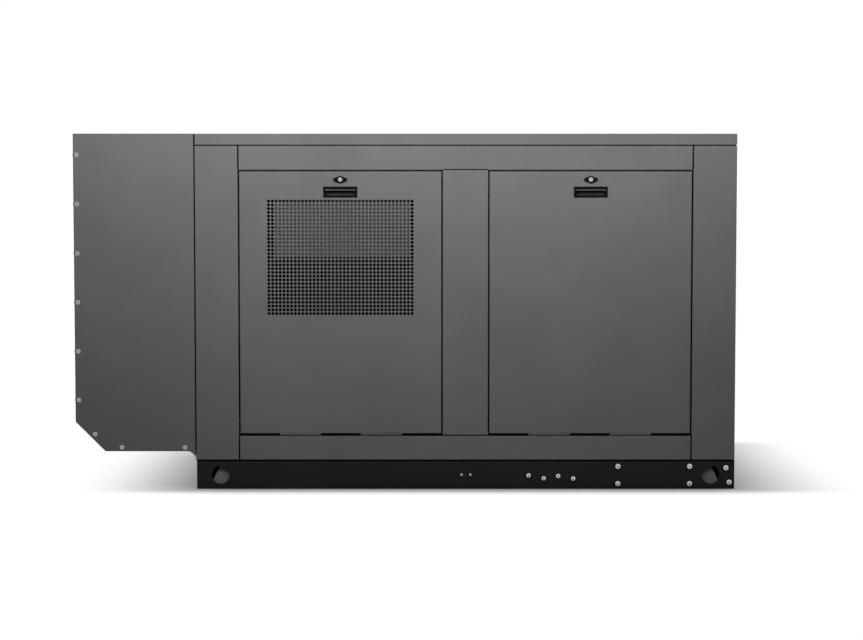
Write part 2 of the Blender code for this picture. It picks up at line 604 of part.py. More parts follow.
# ---------------------------------------------------------------- doors
def door(label, side, bay, opening, inlet):
    """A tray-shaped door that drops outwards on two rolled beads along its bottom edge."""
    edge = DOOR_GAP - SEAM / 2
    x0, x1 = opening[0] + edge, opening[1] - edge
    middle = (x0 + x1) / 2
    pivot = (middle, across(side, BEAD_RADIUS), HINGE_Z)
    name = f"{label}_{bay}"

    beads, necks = [], []
    for x in hinge_centres(opening):
        ends = (x - HINGE_TAB_LENGTH / 2, x + HINGE_TAB_LENGTH / 2)
        necks.append(box(ends, span(side, BEAD_RADIUS - HINGE_NECK / 2, BEAD_RADIUS + HINGE_NECK / 2),
                         (HINGE_Z, DOOR_BOTTOM + SHEET / 2)))
        beads.append(rod("X", pivot[1:], BEAD_RADIUS, *ends, SMALL_ROUND))
    inside = box((x0 + SHEET, x1 - SHEET), span(side, SHEET, 2 * DOOR_DEPTH),
                 (DOOR_BOTTOM + SHEET, DOOR_TOP - SHEET))

    cup_top = DOOR_TOP - CUP_BELOW_TOP
    body_x = (middle - CUP_WIDTH / 2 + CUP_RIM, middle + CUP_WIDTH / 2 - CUP_RIM)
    body_z = (cup_top - CUP_HEIGHT + CUP_RIM, cup_top - CUP_RIM)
    latch_z = DOOR_TOP - LATCH_BELOW_TOP
    through = span(side, -SHEET, 2 * SHEET)
    cuts = [box((body_x[0] - GAP, body_x[1] + GAP), through, (body_z[0] - GAP, body_z[1] + GAP)),
            rod("Y", (middle, latch_z), LATCH_SHAFT + RUNNING_GAP, *through, SMALL_ROUND)]
    field_x = (middle - FIELD_WIDTH / 2, middle + FIELD_WIDTH / 2)
    field_z = (DOOR_TOP - FIELD_BELOW_TOP - FIELD_HEIGHT, DOOR_TOP - FIELD_BELOW_TOP)
    if inlet:
        wide = (FIELD_WIDTH + FIELD_BAR) / FIELD_COLUMNS
        tall = (FIELD_HEIGHT + FIELD_BAR) / FIELD_ROWS
        for column in range(FIELD_COLUMNS):
            for row in range(FIELD_ROWS):
                x = field_x[0] + column * wide
                z = field_z[0] + row * tall
                cuts.append(box((x, x + wide - FIELD_BAR), through, (z, z + tall - FIELD_BAR)))
    tray = box((x0, x1), span(side, 0, DOOR_DEPTH), (DOOR_BOTTOM, DOOR_TOP))
    carried = [piece(f"door_{name}", tray, "charcoal", joined=necks + beads, hollow=[inside],
                     cuts=cuts, pivot=pivot)]

    liner_top = field_z[0] - LINER_CLEARANCE if inlet else cup_top - CUP_HEIGHT - LINER_CLEARANCE
    liner = box((x0 + SHEET + LINER_INSET, x1 - SHEET - LINER_INSET),
                span(side, SHEET + GAP, SHEET + GAP + LINER_THICKNESS),
                (DOOR_BOTTOM + SHEET + LINER_INSET, liner_top))
    carried.append(piece(f"door_liner_{name}", liner, "foam", pivot=pivot))

    if inlet and side < 0:
        sheet = (SHEET + BAFFLE_STANDOFF, SHEET + BAFFLE_STANDOFF + BAFFLE_SHEET)
        top = field_z[1] + BAFFLE_OVERLAP
        section = [(sheet[1], (field_z[0] + field_z[1]) / 2), (sheet[1], top), (SHEET + GAP, top),
                   (SHEET + GAP, top - BAFFLE_SHEET), (sheet[0], top - BAFFLE_SHEET),
                   (sheet[0], (field_z[0] + field_z[1]) / 2)]
        section = [(across(side, depth), z) for depth, z in section]
        baffle = prism(section, "X", field_x[0] + BAFFLE_LEFT_INSET, field_x[1] - BAFFLE_RIGHT_INSET)
        carried.append(piece("inlet_baffle", baffle, "galvanised", pivot=pivot))

    rim = box((middle - CUP_WIDTH / 2, middle + CUP_WIDTH / 2), span(side, -GAP - CUP_PROUD, -GAP),
              (cup_top - CUP_HEIGHT, cup_top))
    body = box(body_x, span(side, -GAP - CUP_PROUD / 2, CUP_DEPTH), body_z)
    cavity_top = body_z[1] - CUP_WALL
    cavity = box((body_x[0] + CUP_WALL, body_x[1] - CUP_WALL),
                 span(side, CUP_LIP, CUP_DEPTH - CUP_WALL), (body_z[0] + CUP_WALL, cavity_top))
    mouth = box((body_x[0] + CUP_WALL, body_x[1] - CUP_WALL), span(side, -2 * CUP_PROUD - GAP, 2 * CUP_LIP),
                (body_z[0] + CUP_WALL, cavity_top - CUP_LIP))
    carried.append(piece(f"pull_cup_{name}", rim, "black_plastic", joined=[body], hollow=[cavity],
                         cuts=[mouth], pivot=pivot))

    latch_pivot = (middle, across(side, 0), latch_z)
    half, tall, flat = LATCH_WIDTH / 2, LATCH_HEIGHT / 2, LATCH_BOSS_RADIUS
    tip = tall * LATCH_TIP
    wing = [(-half, -tip), (-flat, -tall), (flat, -tall), (half, -tip),
            (half, tip), (flat, tall), (-flat, tall), (-half, tip)]
    wing = [(middle + x, latch_z + z) for x, z in wing]
    cam_depth = FRAME_DEPTH + RUNNING_GAP
    shaft = rod("Y", (middle, latch_z), LATCH_SHAFT,
                *span(side, -GAP - LATCH_PROUD / 2, cam_depth + CAM_THICKNESS / 2), SMALL_ROUND)
    cam = box((middle - CAM_WIDTH / 2, middle + CAM_LENGTH), span(side, cam_depth, cam_depth + CAM_THICKNESS),
              (latch_z - CAM_WIDTH / 2, latch_z + CAM_WIDTH / 2))
    latch = piece(f"latch_{name}", prism(wing, "Y", *span(side, -GAP - LATCH_PROUD, -GAP)),
                  "black_plastic", joined=[shaft, cam], pivot=latch_pivot)
    joint_frame(f"door_hinge_{name}", pivot, carried + [latch])


def doors():
    for label, side in SIDES.items():
        for bay, opening in openings().items():
            door(label, side, bay, opening, inlet=bay == "left")


# ---------------------------------------------------------------- engine
def engine():
    crank = (0.0, CRANK_HEIGHT)
    fan = (0.0, FAN_HEIGHT)
    body = (ENGINE_FRONT, ENGINE_BACK)
    case = box(body, (-CASE_HALF_WIDTH, CASE_HALF_WIDTH), (CASE_BOTTOM, CASE_TOP))
    upper = box((body[0], body[1] - CASE_STEP), (-BLOCK_HALF_WIDTH, BLOCK_HALF_WIDTH),
                (CASE_TOP - LAP, BLOCK_TOP))
    cover_front = ENGINE_FRONT - COVER_THICKNESS
    cover_half = BLOCK_HALF_WIDTH - COVER_INSET
    cover = box((cover_front, ENGINE_FRONT + LAP), (-cover_half, cover_half),
                (CASE_BOTTOM + COVER_RAISE, FAN_HEIGHT + FAN_PULLEY_RADIUS))
    bell = rod("X", crank, BELL_RADIUS, ENGINE_BACK - LAP, BELL_BACK)
    feet = []
    for x in (ENGINE_FRONT + offset for offset in MOUNT_OFFSETS):
        for way in (-1, 1):
            root, knee, tip = (way * y for y in (CASE_HALF_WIDTH - LAP, MOUNT_REACH - MOUNT_LEG,
                                                 MOUNT_REACH))
            leg = [(root, MOUNT_HEIGHT), (tip, MOUNT_HEIGHT), (tip, FLOOR), (knee, FLOOR),
                   (knee, MOUNT_HEIGHT - MOUNT_WALL), (root, MOUNT_HEIGHT - MOUNT_WALL)]
            feet.append(prism(leg, "X", x - MOUNT_WIDTH / 2, x + MOUNT_WIDTH / 2))
    bores = [rod("X", crank, CRANK_SHAFT_RADIUS + 2 * RUNNING_GAP, cover_front - LAP, BELL_BACK + LAP),
             rod("X", fan, FAN_SHAFT_RADIUS + RUNNING_GAP, cover_front - LAP,
                 ENGINE_FRONT + FAN_SHAFT_ROOM)]
    piece("engine_block", case, "engine_paint", joined=[upper, cover, bell] + feet, cuts=bores)

    head = [(HEAD_HALF_WIDTH, BLOCK_TOP + GAP), (HEAD_HALF_WIDTH, HEAD_TOP),
            (ROCKER_HALF_WIDTH, HEAD_TOP + ROCKER_STEP), (ROCKER_HALF_WIDTH, ROCKER_TOP)]
    head += [(-y, z) for y, z in reversed(head)]
    piece("cylinder_head", prism(head, "X", body[0] + COVER_THICKNESS, body[1] - COVER_THICKNESS),
          "engine_paint")
    sump = [(SUMP_HALF_WIDTH, CASE_BOTTOM - GAP), (SUMP_HALF_WIDTH, CASE_BOTTOM - SUMP_TAPER),
            (SUMP_HALF_WIDTH - SUMP_TAPER, SUMP_BOTTOM)]
    sump += [(-y, z) for y, z in reversed(sump)]
    piece("oil_pan", prism(sump, "X", body[0] + COVER_THICKNESS, body[1] - 2 * COVER_THICKNESS),
          "engine_paint")

    cheek_in = BELT_WIDTH / 2 + BELT_SIDE_GAP
    cheek_out = cheek_in + PULLEY_CHEEK
    x = BELT_CENTRE_X

    def pulley(radius):
        rim = radius + PULLEY_RIM
        return [(x - cheek_out, rim), (x - cheek_in, rim), (x - cheek_in, radius),
                (x + cheek_in, radius), (x + cheek_in, rim), (x + cheek_out, rim)]
    rotor_start = BELL_BACK + ALTERNATOR_END_WALL
    shaft = pulley(CRANK_PULLEY_RADIUS)
    flange = BELL_BACK + CRANK_FLANGE_ROOM
    shaft += [(x + cheek_out, CRANK_SHAFT_RADIUS), (flange, CRANK_SHAFT_RADIUS),
              (flange, CRANK_FLANGE_RADIUS), (rotor_start - GAP, CRANK_FLANGE_RADIUS)]
    crankshaft = piece("crankshaft", turned(shaft, crank), "steel", smooth=True,
                       pivot=(x, *crank))
    rotor_end = rotor_start + ROTOR_LENGTH
    back = BELL_BACK + GAP + ALTERNATOR_LENGTH
    rotor = [(rotor_start, ROTOR_RADIUS), (rotor_end, ROTOR_RADIUS), (rotor_end, ROTOR_SHAFT_RADIUS),
             (back - GAP, ROTOR_SHAFT_RADIUS)]
    rotor = piece("alternator_rotor", turned(rotor, crank), "copper", smooth=True, pivot=(x, *crank))
    joint_frame("crank_axis", (x, *crank), [crankshaft, rotor])

    hub_back = x - cheek_out - FAN_HUB_STEP
    hub_front = RADIATOR_BACK + SHROUD_DEPTH / 2 - FAN_HUB_AHEAD
    spindle = [(hub_front, FAN_HUB_RADIUS), (hub_back, FAN_HUB_RADIUS)] + pulley(FAN_PULLEY_RADIUS)
    spindle += [(x + cheek_out, FAN_SHAFT_RADIUS), (ENGINE_FRONT, FAN_SHAFT_RADIUS)]
    blades = []
    blade_x = (hub_front + hub_back) / 2
    ax, tx = math.sin(FAN_PITCH), math.cos(FAN_PITCH)
    for blade in range(FAN_BLADES):
        turn = 2 * math.pi * blade / FAN_BLADES
        out = (math.cos(turn), math.sin(turn))
        tangent = (-out[1], out[0])
        points = []
        for radius in (FAN_HUB_RADIUS * BLADE_ROOT, FAN_RADIUS):
            for chord, thick in ((-1, -1), (1, -1), (1, 1), (-1, 1)):
                a = chord * FAN_CHORD / 2 * (ROOT_CHORD if radius < FAN_RADIUS else 1.0)
                b = thick * FAN_BLADE_SHEET / 2
                along, round_ = a * ax - b * tx, a * tx + b * ax
                points.append((blade_x + along, fan[0] + radius * out[0] + round_ * tangent[0],
                               fan[1] + radius * out[1] + round_ * tangent[1]))
        faces = [(0, 1, 2, 3), (7, 6, 5, 4)] + [(i, (i + 1) % 4, 4 + (i + 1) % 4, 4 + i)
                                                for i in range(4)]
        blades.append((points, faces))
    piece("radiator_fan", turned(spindle, fan), "black_plastic", joined=blades,
          pivot=(x, *fan))

    belt()
    housing_and_air(crank, back)


def belt():
    """Flat-sided loop round the crank and fan pulleys, from two tangent lines and two arcs."""
    def loop(extra):
        low_r = CRANK_PULLEY_RADIUS + GAP + extra
        high_r = FAN_PULLEY_RADIUS + GAP + extra
        lean = math.degrees(math.asin((low_r - high_r) / (FAN_HEIGHT - CRANK_HEIGHT)))
        low = arc(0, CRANK_HEIGHT, low_r, 180 - lean, 360 + lean, ROUND // 2)
        high = arc(0, FAN_HEIGHT, high_r, lean, 180 - lean, ROUND // 2)
        return low + high
    # facets of an arc cut inside its circle, so the inner loop is widened by that sagitta
    sagitta = CRANK_PULLEY_RADIUS * (1 / math.cos(math.pi / ROUND) - 1)
    ends = (BELT_CENTRE_X - BELT_WIDTH / 2, BELT_CENTRE_X + BELT_WIDTH / 2)
    past = (ends[0] - BELT_WIDTH, ends[1] + BELT_WIDTH)
    piece("fan_belt", prism(loop(sagitta + BELT_THICKNESS), "X", *ends), "rubber",
          cuts=[prism(loop(sagitta), "X", *past)])


def housing_and_air(crank, back):
    start = BELL_BACK + GAP
    feet = []
    for way in (-1, 1):
        y = tuple(sorted((way * ALTERNATOR_FOOT_Y[0], way * ALTERNATOR_FOOT_Y[1])))
        feet.append(box([BELL_BACK + offset for offset in ALTERNATOR_FOOT_OFFSETS], y,
                        (FLOOR, CRANK_HEIGHT - ALTERNATOR_FOOT_TOP)))
    bore = rod("X", crank, ALTERNATOR_BORE, start - LAP, back - ALTERNATOR_END_WALL)
    bearing = rod("X", crank, ROTOR_SHAFT_RADIUS + RUNNING_GAP, start, back + LAP)
    piece("alternator_housing", rod("X", crank, ALTERNATOR_RADIUS, start, back), "cast",
          joined=feet, hollow=[bore], cuts=[bearing])
    centre = (0.0, AIR_CLEANER_HEIGHT)
    ends = [ENGINE_FRONT + offset for offset in AIR_CLEANER_OFFSETS]
    middle = sum(ends) / 2
    stem = rod("Z", (middle, 0.0), AIR_CLEANER_STEM, ROCKER_TOP + GAP, AIR_CLEANER_HEIGHT, SMALL_ROUND)
    piece("air_cleaner", rod("X", centre, AIR_CLEANER_RADIUS, *ends), "black_plastic",
          joined=[stem])


def exhaust():
    log_x = (ENGINE_FRONT + LOG_INSET, ENGINE_BACK - 2 * LOG_INSET)
    log = rod("X", (LOG_Y, EXHAUST_HEIGHT), LOG_RADIUS, *log_x, SMALL_ROUND)
    pitch = (log_x[1] - log_x[0]) / RUNNERS
    parts = []
    for i in range(RUNNERS):
        x = log_x[0] + (i + 0.5) * pitch
        parts.append(box((x - RUNNER_WIDTH / 2, x + RUNNER_WIDTH / 2), (HEAD_HALF_WIDTH + GAP, LOG_Y),
                         (EXHAUST_HEIGHT - RUNNER_HEIGHT / 2, EXHAUST_HEIGHT + RUNNER_HEIGHT / 2)))
    elbow_x = log_x[0] + LOG_RADIUS
    stub_end = MUFFLER_X + MUFFLER_RADIUS + MUFFLER_STUB
    parts.append(rod("Y", (elbow_x, EXHAUST_HEIGHT), PIPE_RADIUS, LOG_Y, PIPE_Y + PIPE_RADIUS * ELBOW_SHARE,
                     SMALL_ROUND))
    parts.append(rod("X", (PIPE_Y, EXHAUST_HEIGHT), PIPE_RADIUS * PIPE_FIT, stub_end + GAP, elbow_x,
                     SMALL_ROUND))
    piece("exhaust_manifold", log, "hot_steel", joined=parts)

    stub = rod("X", (PIPE_Y, EXHAUST_HEIGHT), PIPE_RADIUS, MUFFLER_X, stub_end, SMALL_ROUND)
    outlet = rod("Z", (MUFFLER_X, OUTLET_INSET - FACE), OUTLET_RADIUS, EXHAUST_HEIGHT,
                 HEIGHT - GRILLE_DEPTH - OUTLET_BELOW_GRILLE, SMALL_ROUND)
    half = MUFFLER_BRACKET / 2
    brackets = []
    for way in (-1, 1):
        near = WINDOW_HALF + MUFFLER_BRACKET_ROOM
        y = tuple(sorted((way * near, way * (near + MUFFLER_BRACKET))))
        brackets.append(box((MUFFLER_X, JOINT - BULKHEAD_HALF - GAP), y,
                            (EXHAUST_HEIGHT - 3 * half, EXHAUST_HEIGHT - half)))
    piece("muffler", rod("Y", (MUFFLER_X, EXHAUST_HEIGHT), MUFFLER_RADIUS,
                         MUFFLER_INSETS[0] - FACE, FACE - MUFFLER_INSETS[1]), "galvanised",
          joined=[stub, outlet] + brackets)


def cooling():
    x = (RADIATOR_FRONT, RADIATOR_BACK)
    out = RADIATOR_HALF_WIDTH + RADIATOR_CHANNEL
    leg = out - RADIATOR_LEG
    outline = [(out, RADIATOR_TOP), (out, FLOOR), (leg, FLOOR), (leg, RADIATOR_BOTTOM)]
    outline += [(-y, z) for y, z in reversed(outline)]
    piece("radiator", prism(outline, "X", *x), "aluminium")
    start = RADIATOR_BACK + GAP
    end = start + SHROUD_DEPTH
    half = RADIATOR_HALF_WIDTH - SHROUD_INSET
    low, high = FAN_HEIGHT - half, FAN_HEIGHT + half
    inside = box((start - SHEET, end - SHEET), (-half + SHEET, half - SHEET),
                 (low + SHEET, high - SHEET))
    hole = rod("X", (0.0, FAN_HEIGHT), FAN_RADIUS + FAN_TIP_CLEARANCE, start, end + SHEET, 2 * ROUND)
    piece("fan_shroud", box((start, end), (-half, half), (low, high)), "black_frame",
          hollow=[inside], cuts=[hole])


# ---------------------------------------------------------------- electrical
def electrics():
    size = BATTERY_SIZE
    middle = (RIGHT - BATTERY_INSETS[0], BATTERY_INSETS[1] - FACE)
    low = [middle[i] - size[i] / 2 for i in range(2)]
    high = [middle[i] + size[i] / 2 for i in range(2)]
    top = FLOOR + size[2]
    posts = [rod("Z", (x, high[1] - TERMINAL_INSET), TERMINAL_RADIUS, top - TERMINAL_SEAT,
                 top + TERMINAL_HEIGHT, SMALL_ROUND)
             for x in (low[0] + TERMINAL_INSET, high[0] - TERMINAL_INSET)]
    piece("battery", box((low[0], high[0]), (low[1], high[1]), (FLOOR, top)), "black_plastic",
          joined=posts)

    face = BOX_FACE_Y
    y = (face, face + BOX_DEPTH)
    legs = []
    for x in (BOX_X[0] + BOX_LEG / 2, BOX_X[1] - 1.5 * BOX_LEG):
        legs.append(box((x, x + BOX_LEG), (y[1] - 2 * BOX_LEG, y[1] - BOX_LEG),
                        (FLOOR, BOX_Z[0] + LAP)))
    deep = (face - LAP, face + TOGGLE_SLOT_DEPTH)
    slot_half = TOGGLE_WIDTH / 2 + STEM_CLEARANCE
    holes = [rod("Y", (SELECTOR_X, CONTROL_HEIGHT), SELECTOR_STEM + STEM_CLEARANCE, *deep, SMALL_ROUND),
             rod("Y", (STOP_X, CONTROL_HEIGHT), STOP_STEM + STEM_CLEARANCE, *deep, SMALL_ROUND),
             box((TOGGLE_X - slot_half, TOGGLE_X + slot_half), deep,
                 (CONTROL_HEIGHT - TOGGLE_SLOT_HALF, CONTROL_HEIGHT + TOGGLE_SLOT_HALF))]
    piece("control_box", box(BOX_X, y, BOX_Z), "box_grey", joined=legs, cuts=holes)

    reach = TOGGLE_SLOT_DEPTH - 2 * STOP_TRAVEL
    knob = rod("Y", (SELECTOR_X, CONTROL_HEIGHT), SELECTOR_RADIUS, face - SELECTOR_DEPTH, face - GAP)
    grip = box((SELECTOR_X - GRIP_HALF_WIDTH, SELECTOR_X + GRIP_HALF_WIDTH),
               (face - GRIP_PROUD, face - LAP),
               (CONTROL_HEIGHT - GRIP_HALF_HEIGHT, CONTROL_HEIGHT + GRIP_HALF_HEIGHT))
    stem = rod("Y", (SELECTOR_X, CONTROL_HEIGHT), SELECTOR_STEM, face - STEM_SEAT, face + reach, SMALL_ROUND)
    piece("selector_switch", knob, "black_plastic", joined=[grip, stem],
          pivot=(SELECTOR_X, face, CONTROL_HEIGHT))

    head_back = face - STOP_TRAVEL - STOP_ROOM
    head = rod("Y", (STOP_X, CONTROL_HEIGHT), STOP_RADIUS, head_back - STOP_DEPTH, head_back)
    stem = rod("Y", (STOP_X, CONTROL_HEIGHT), STOP_STEM, head_back - STEM_SEAT, face + reach, SMALL_ROUND)
    piece("stop_button", head, "red", joined=[stem], pivot=(STOP_X, face, CONTROL_HEIGHT))

    hub = (face + TOGGLE_HUB + TOGGLE_ROOM, CONTROL_HEIGHT)
    ends = (TOGGLE_X - TOGGLE_WIDTH / 2, TOGGLE_X + TOGGLE_WIDTH / 2)
    out = (-math.cos(TOGGLE_TILT), math.sin(TOGGLE_TILT))
    up = (math.sin(TOGGLE_TILT), math.cos(TOGGLE_TILT))
    lever = [(hub[0] + out[0] * a + up[0] * b, hub[1] + out[1] * a + up[1] * b)
             for a, b in ((0, -TOGGLE_ROOT_HALF), (TOGGLE_LENGTH, -TOGGLE_TIP_HALF),
                          (TOGGLE_LENGTH, TOGGLE_TIP_HALF), (0, TOGGLE_ROOT_HALF))]
    piece("breaker_toggle", rod("X", hub, TOGGLE_HUB, *ends, SMALL_ROUND), "black_plastic",
          joined=[prism(lever, "X", ends[0] + TOGGLE_INSET, ends[1] - TOGGLE_INSET)], pivot=(TOGGLE_X, *hub))


def build():
    clear_scene()
    base_frame()
    enclosure_frame()
    roof()
    end_panel()
    bulkhead()
    plenum()
    doors()
    engine()
    exhaust()
    cooling()
    electrics()


build()
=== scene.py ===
import math

import bmesh
import bpy
from mathutils import Matrix, Vector


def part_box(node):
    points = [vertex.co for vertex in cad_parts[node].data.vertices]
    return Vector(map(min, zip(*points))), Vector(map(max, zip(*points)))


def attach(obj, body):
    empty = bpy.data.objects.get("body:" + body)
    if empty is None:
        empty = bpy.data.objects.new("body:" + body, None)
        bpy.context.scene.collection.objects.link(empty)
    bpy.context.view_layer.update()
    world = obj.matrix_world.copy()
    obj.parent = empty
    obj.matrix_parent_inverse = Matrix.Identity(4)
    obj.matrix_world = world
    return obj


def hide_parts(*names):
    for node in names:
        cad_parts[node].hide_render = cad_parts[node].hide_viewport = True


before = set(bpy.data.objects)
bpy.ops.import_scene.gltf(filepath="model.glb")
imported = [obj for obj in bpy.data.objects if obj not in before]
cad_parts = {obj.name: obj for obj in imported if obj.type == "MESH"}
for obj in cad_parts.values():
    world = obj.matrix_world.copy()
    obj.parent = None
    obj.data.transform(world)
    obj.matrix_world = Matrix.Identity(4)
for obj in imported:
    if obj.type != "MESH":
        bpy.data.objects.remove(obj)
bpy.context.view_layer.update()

# ---- places, from the frame
# Lengths are in metres. Turned profiles and the sizes of fastener heads are in millimetres, as drawn.
SIDES = {"front": -1, "rear": 1}
BAYS = ("left", "right")
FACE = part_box("post_left_rear")[1].y            # half the depth, at the cover faces
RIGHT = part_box("inlet_end_panel")[1].x
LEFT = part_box("plenum_wrap")[0].x
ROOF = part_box("roof_panel")[1].z
PLENUM_LOW, PLENUM_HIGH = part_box("plenum_front_panel")
BASE_LOW, BASE_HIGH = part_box("base_rail_front")
PAN_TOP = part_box("floor_pan")[1].z
SILL_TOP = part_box("sill_front")[1].z
CONTACT = 0.0003                                # air between faces that touch
DOOR_GAP = 0.005
X, Y, Z = Vector((1, 0, 0)), Vector((0, 1, 0)), Vector((0, 0, 1))
WHITE = (1.0, 1.0, 1.0, 1.0)


# ---- node trees
def shade(colour, factor):
    return tuple(channel * factor for channel in colour)


class Tree:
    """Short names for building the node tree of a material or of the world."""

    def __init__(self, name, kind="materials"):
        self.owner = getattr(bpy.data, kind).new(name)
        self.owner.use_nodes = True
        self.nodes = self.owner.node_tree.nodes
        self.shader = self.nodes.get("Principled BSDF")
        if self.shader:
            self.place = self.node("TexCoord", "Object")

    def feed(self, node, inputs):
        """Sets each input to a number or colour, or links it to another node's output."""
        for key, value in inputs.items():
            if isinstance(value, bpy.types.NodeSocket):
                self.owner.node_tree.links.new(value, node.inputs[key])
            else:
                node.inputs[key].default_value = value

    def node(self, kind, output, inputs=None, **settings):
        """Adds a node and returns one of its outputs."""
        node = self.nodes.new("ShaderNode" + kind)
        for key, value in settings.items():
            setattr(node, key, value)
        self.feed(node, inputs or {})
        return node.outputs[output]

    def noise(self, scale, detail=2.0, rough=0.5, vector=None):
        return self.node("TexNoise", "Fac", {"Scale": scale, "Detail": detail, "Roughness": rough,
                                             "Vector": vector or self.place})

    def cells(self, scale):
        return self.node("TexVoronoi", "Distance", {"Scale": scale, "Vector": self.place})

    def wave(self, scale, direction):
        return self.node("TexWave", "Fac", {"Scale": scale, "Vector": self.place},
                         bands_direction=direction)

    def combine(self, operation, a, b):
        return self.node("Math", "Value", {0: a, 1: b}, operation=operation)

    def spread(self, source, low, high, start=0.3, end=0.7):
        return self.node("MapRange", "Result", {"Value": source, "From Min": start, "From Max": end,
                                                "To Min": low, "To Max": high})

    def tint(self, source, low, high, start=0.35, end=0.65):
        ramp = self.nodes.new("ShaderNodeValToRGB")
        self.feed(ramp, {"Fac": source})
        for stop, position, colour in zip(ramp.color_ramp.elements, (start, end), (low, high)):
            stop.position = position
            stop.color = (*colour, 1.0)
        return ramp.outputs["Color"]

    def shades(self, source, colour, low, high, start=0.35, end=0.65):
        """Runs from a darker to a lighter shade of one colour."""
        return self.tint(source, shade(colour, low), shade(colour, high), start, end)

    def surface(self, inputs, *bumps):
        """Feeds the shader, lays each bump over the last, and returns the material."""
        self.feed(self.shader, inputs)
        normal = self.shader.inputs["Normal"]
        for height, distance, strength in bumps:
            relief = {"Height": height, "Distance": distance, "Strength": strength}
            if normal.is_linked:
                relief["Normal"] = normal.links[0].from_socket
            self.feed(self.shader, {"Normal": self.node("Bump", "Normal", relief)})
        return self.owner

    def seen(self):
        """1 for rays that show the background: camera, glossy and transmission rays."""
        path = self.nodes.new("ShaderNodeLightPath").outputs
        either = self.combine("MAXIMUM", path["Is Camera Ray"], path["Is Glossy Ray"])
        return self.combine("MAXIMUM", either, path["Is Transmission Ray"])


def coated(name, colour, rough, grain=700.0, relief=0.00012, specular=0.5, dust=0.06):
    """Powder coat or enamel: fine orange peel, faint cloudiness and a little dust."""
    t = Tree(name)
    fine = t.noise(grain)
    patchy = t.combine("ADD", t.noise(9.0, 5.0, 0.7), t.combine("MULTIPLY", fine, fine))
    return t.surface({"Base Color": t.shades(t.noise(3.0, 4.0, 0.6), colour, 1 - dust, 1 + dust),
                      "Roughness": t.spread(patchy, rough - 0.06, rough + 0.08, 0.3, 1.3),
                      "Specular IOR Level": specular}, (fine, relief, 0.5))


def moulded(name, colour, rough, specular=0.15):
    """Injection-moulded plastic with a spark-eroded grain."""
    t = Tree(name)
    return t.surface({"Base Color": t.shades(t.noise(25.0, 3.0), colour, 0.9, 1.1),
                      "Roughness": t.spread(t.noise(60.0, 3.0), rough - 0.05, rough + 0.05),
                      "Specular IOR Level": specular}, (t.cells(1400.0), 0.00006, 0.6))


def metal(name, colour, rough, stretch=(1.0, 1.0, 1.0), scale=120.0, spangle=0.0):
    """Bare or plated metal; a stretched scale draws its noise out into brushing."""
    t = Tree(name)
    drawn = t.node("Mapping", "Vector", {"Vector": t.place, "Scale": stretch})
    streak = t.noise(scale, 5.0, 0.6, drawn)
    blotch = t.cells(70.0) if spangle else t.noise(14.0, 3.0)
    return t.surface({"Metallic": 1.0,
                      "Base Color": t.shades(blotch, colour, 0.88 - spangle, 1.08, 0.2, 0.7),
                      "Roughness": t.spread(streak, rough - 0.08, rough + 0.12)},
                     (streak, 0.00003, 0.5))


def cast(name, colour, rough):
    """Sand-cast surface under paint, pitted at a grain of about a millimetre."""
    t = Tree(name)
    grit = t.noise(420.0, 6.0, 0.65)
    return t.surface({"Base Color": t.shades(t.noise(18.0, 5.0, 0.65), colour, 0.8, 1.18),
                      "Roughness": t.spread(grit, rough - 0.1, rough + 0.1, 0.35, 0.65)},
                     (grit, 0.0005, 0.6))


def soft_foam(name, colour):
    """Open-cell foam, its pores painted darker as shade."""
    t = Tree(name)
    pores = t.cells(620.0)
    return t.surface({"Base Color": t.shades(pores, colour, 0.45, 1.3, 0.1, 0.6), "Roughness": 1.0,
                      "Specular IOR Level": 0.1}, (pores, 0.0009, 0.9), (t.noise(60.0, 3.0), 0.001, 0.4))


def ribbed_rubber(name, colour, rough=0.75, ribs=0.0, specular=0.04):
    """Matt rubber, with ribs across X where a number of them is given."""
    t = Tree(name)
    bumps = [(t.noise(900.0), 0.0001, 0.5)]
    if ribs:
        bumps.append((t.wave(ribs, "X"), 0.0008, 0.6))
    return t.surface({"Base Color": t.shades(t.noise(30.0, 4.0), colour, 0.8, 1.3),
                      "Roughness": t.spread(t.noise(200.0, 3.0), rough - 0.1, rough + 0.1),
                      "Specular IOR Level": specular}, *bumps)


def heated(name, colour, straw):
    """Bare steel with the straw and brown tints of a hot pipe."""
    t = Tree(name)
    return t.surface({"Metallic": 0.9,
                      "Base Color": t.tint(t.noise(9.0, 5.0, 0.65), colour, straw, 0.3, 0.7),
                      "Roughness": t.spread(t.noise(40.0, 4.0), 0.38, 0.62)},
                     (t.noise(300.0, 4.0), 0.0002, 0.4))


def finned(name, colour):
    """Radiator core: thin fins between tubes, drawn by two fine waves; the gaps between them are painted
    darker as shade.
    """
    t = Tree(name)
    fins, tubes = t.wave(155.0, "Z"), t.wave(32.0, "Y")
    # painted shade: the colour is darker in the gaps between fins and tubes
    fin_gap_shade = t.combine("MULTIPLY", fins, tubes)
    return t.surface({"Metallic": 0.9, "Roughness": 0.45,
                      "Base Color": t.shades(fin_gap_shade, colour, 0.25, 1.0, 0.1, 0.6)},
                     (t.combine("ADD", fins, tubes), 0.0012, 0.9))


def clear_coated(name, colour, glow=0.0):
    """A lamp's or a screen's window, which can glow."""
    t = Tree(name)
    return t.surface({"Base Color": t.shades(t.noise(400.0), colour, 0.92, 1.0), "Roughness": 0.08,
                      "Coat Weight": 1.0, "Coat Roughness": 0.03,
                      "Emission Color": (*colour, 1.0), "Emission Strength": glow})


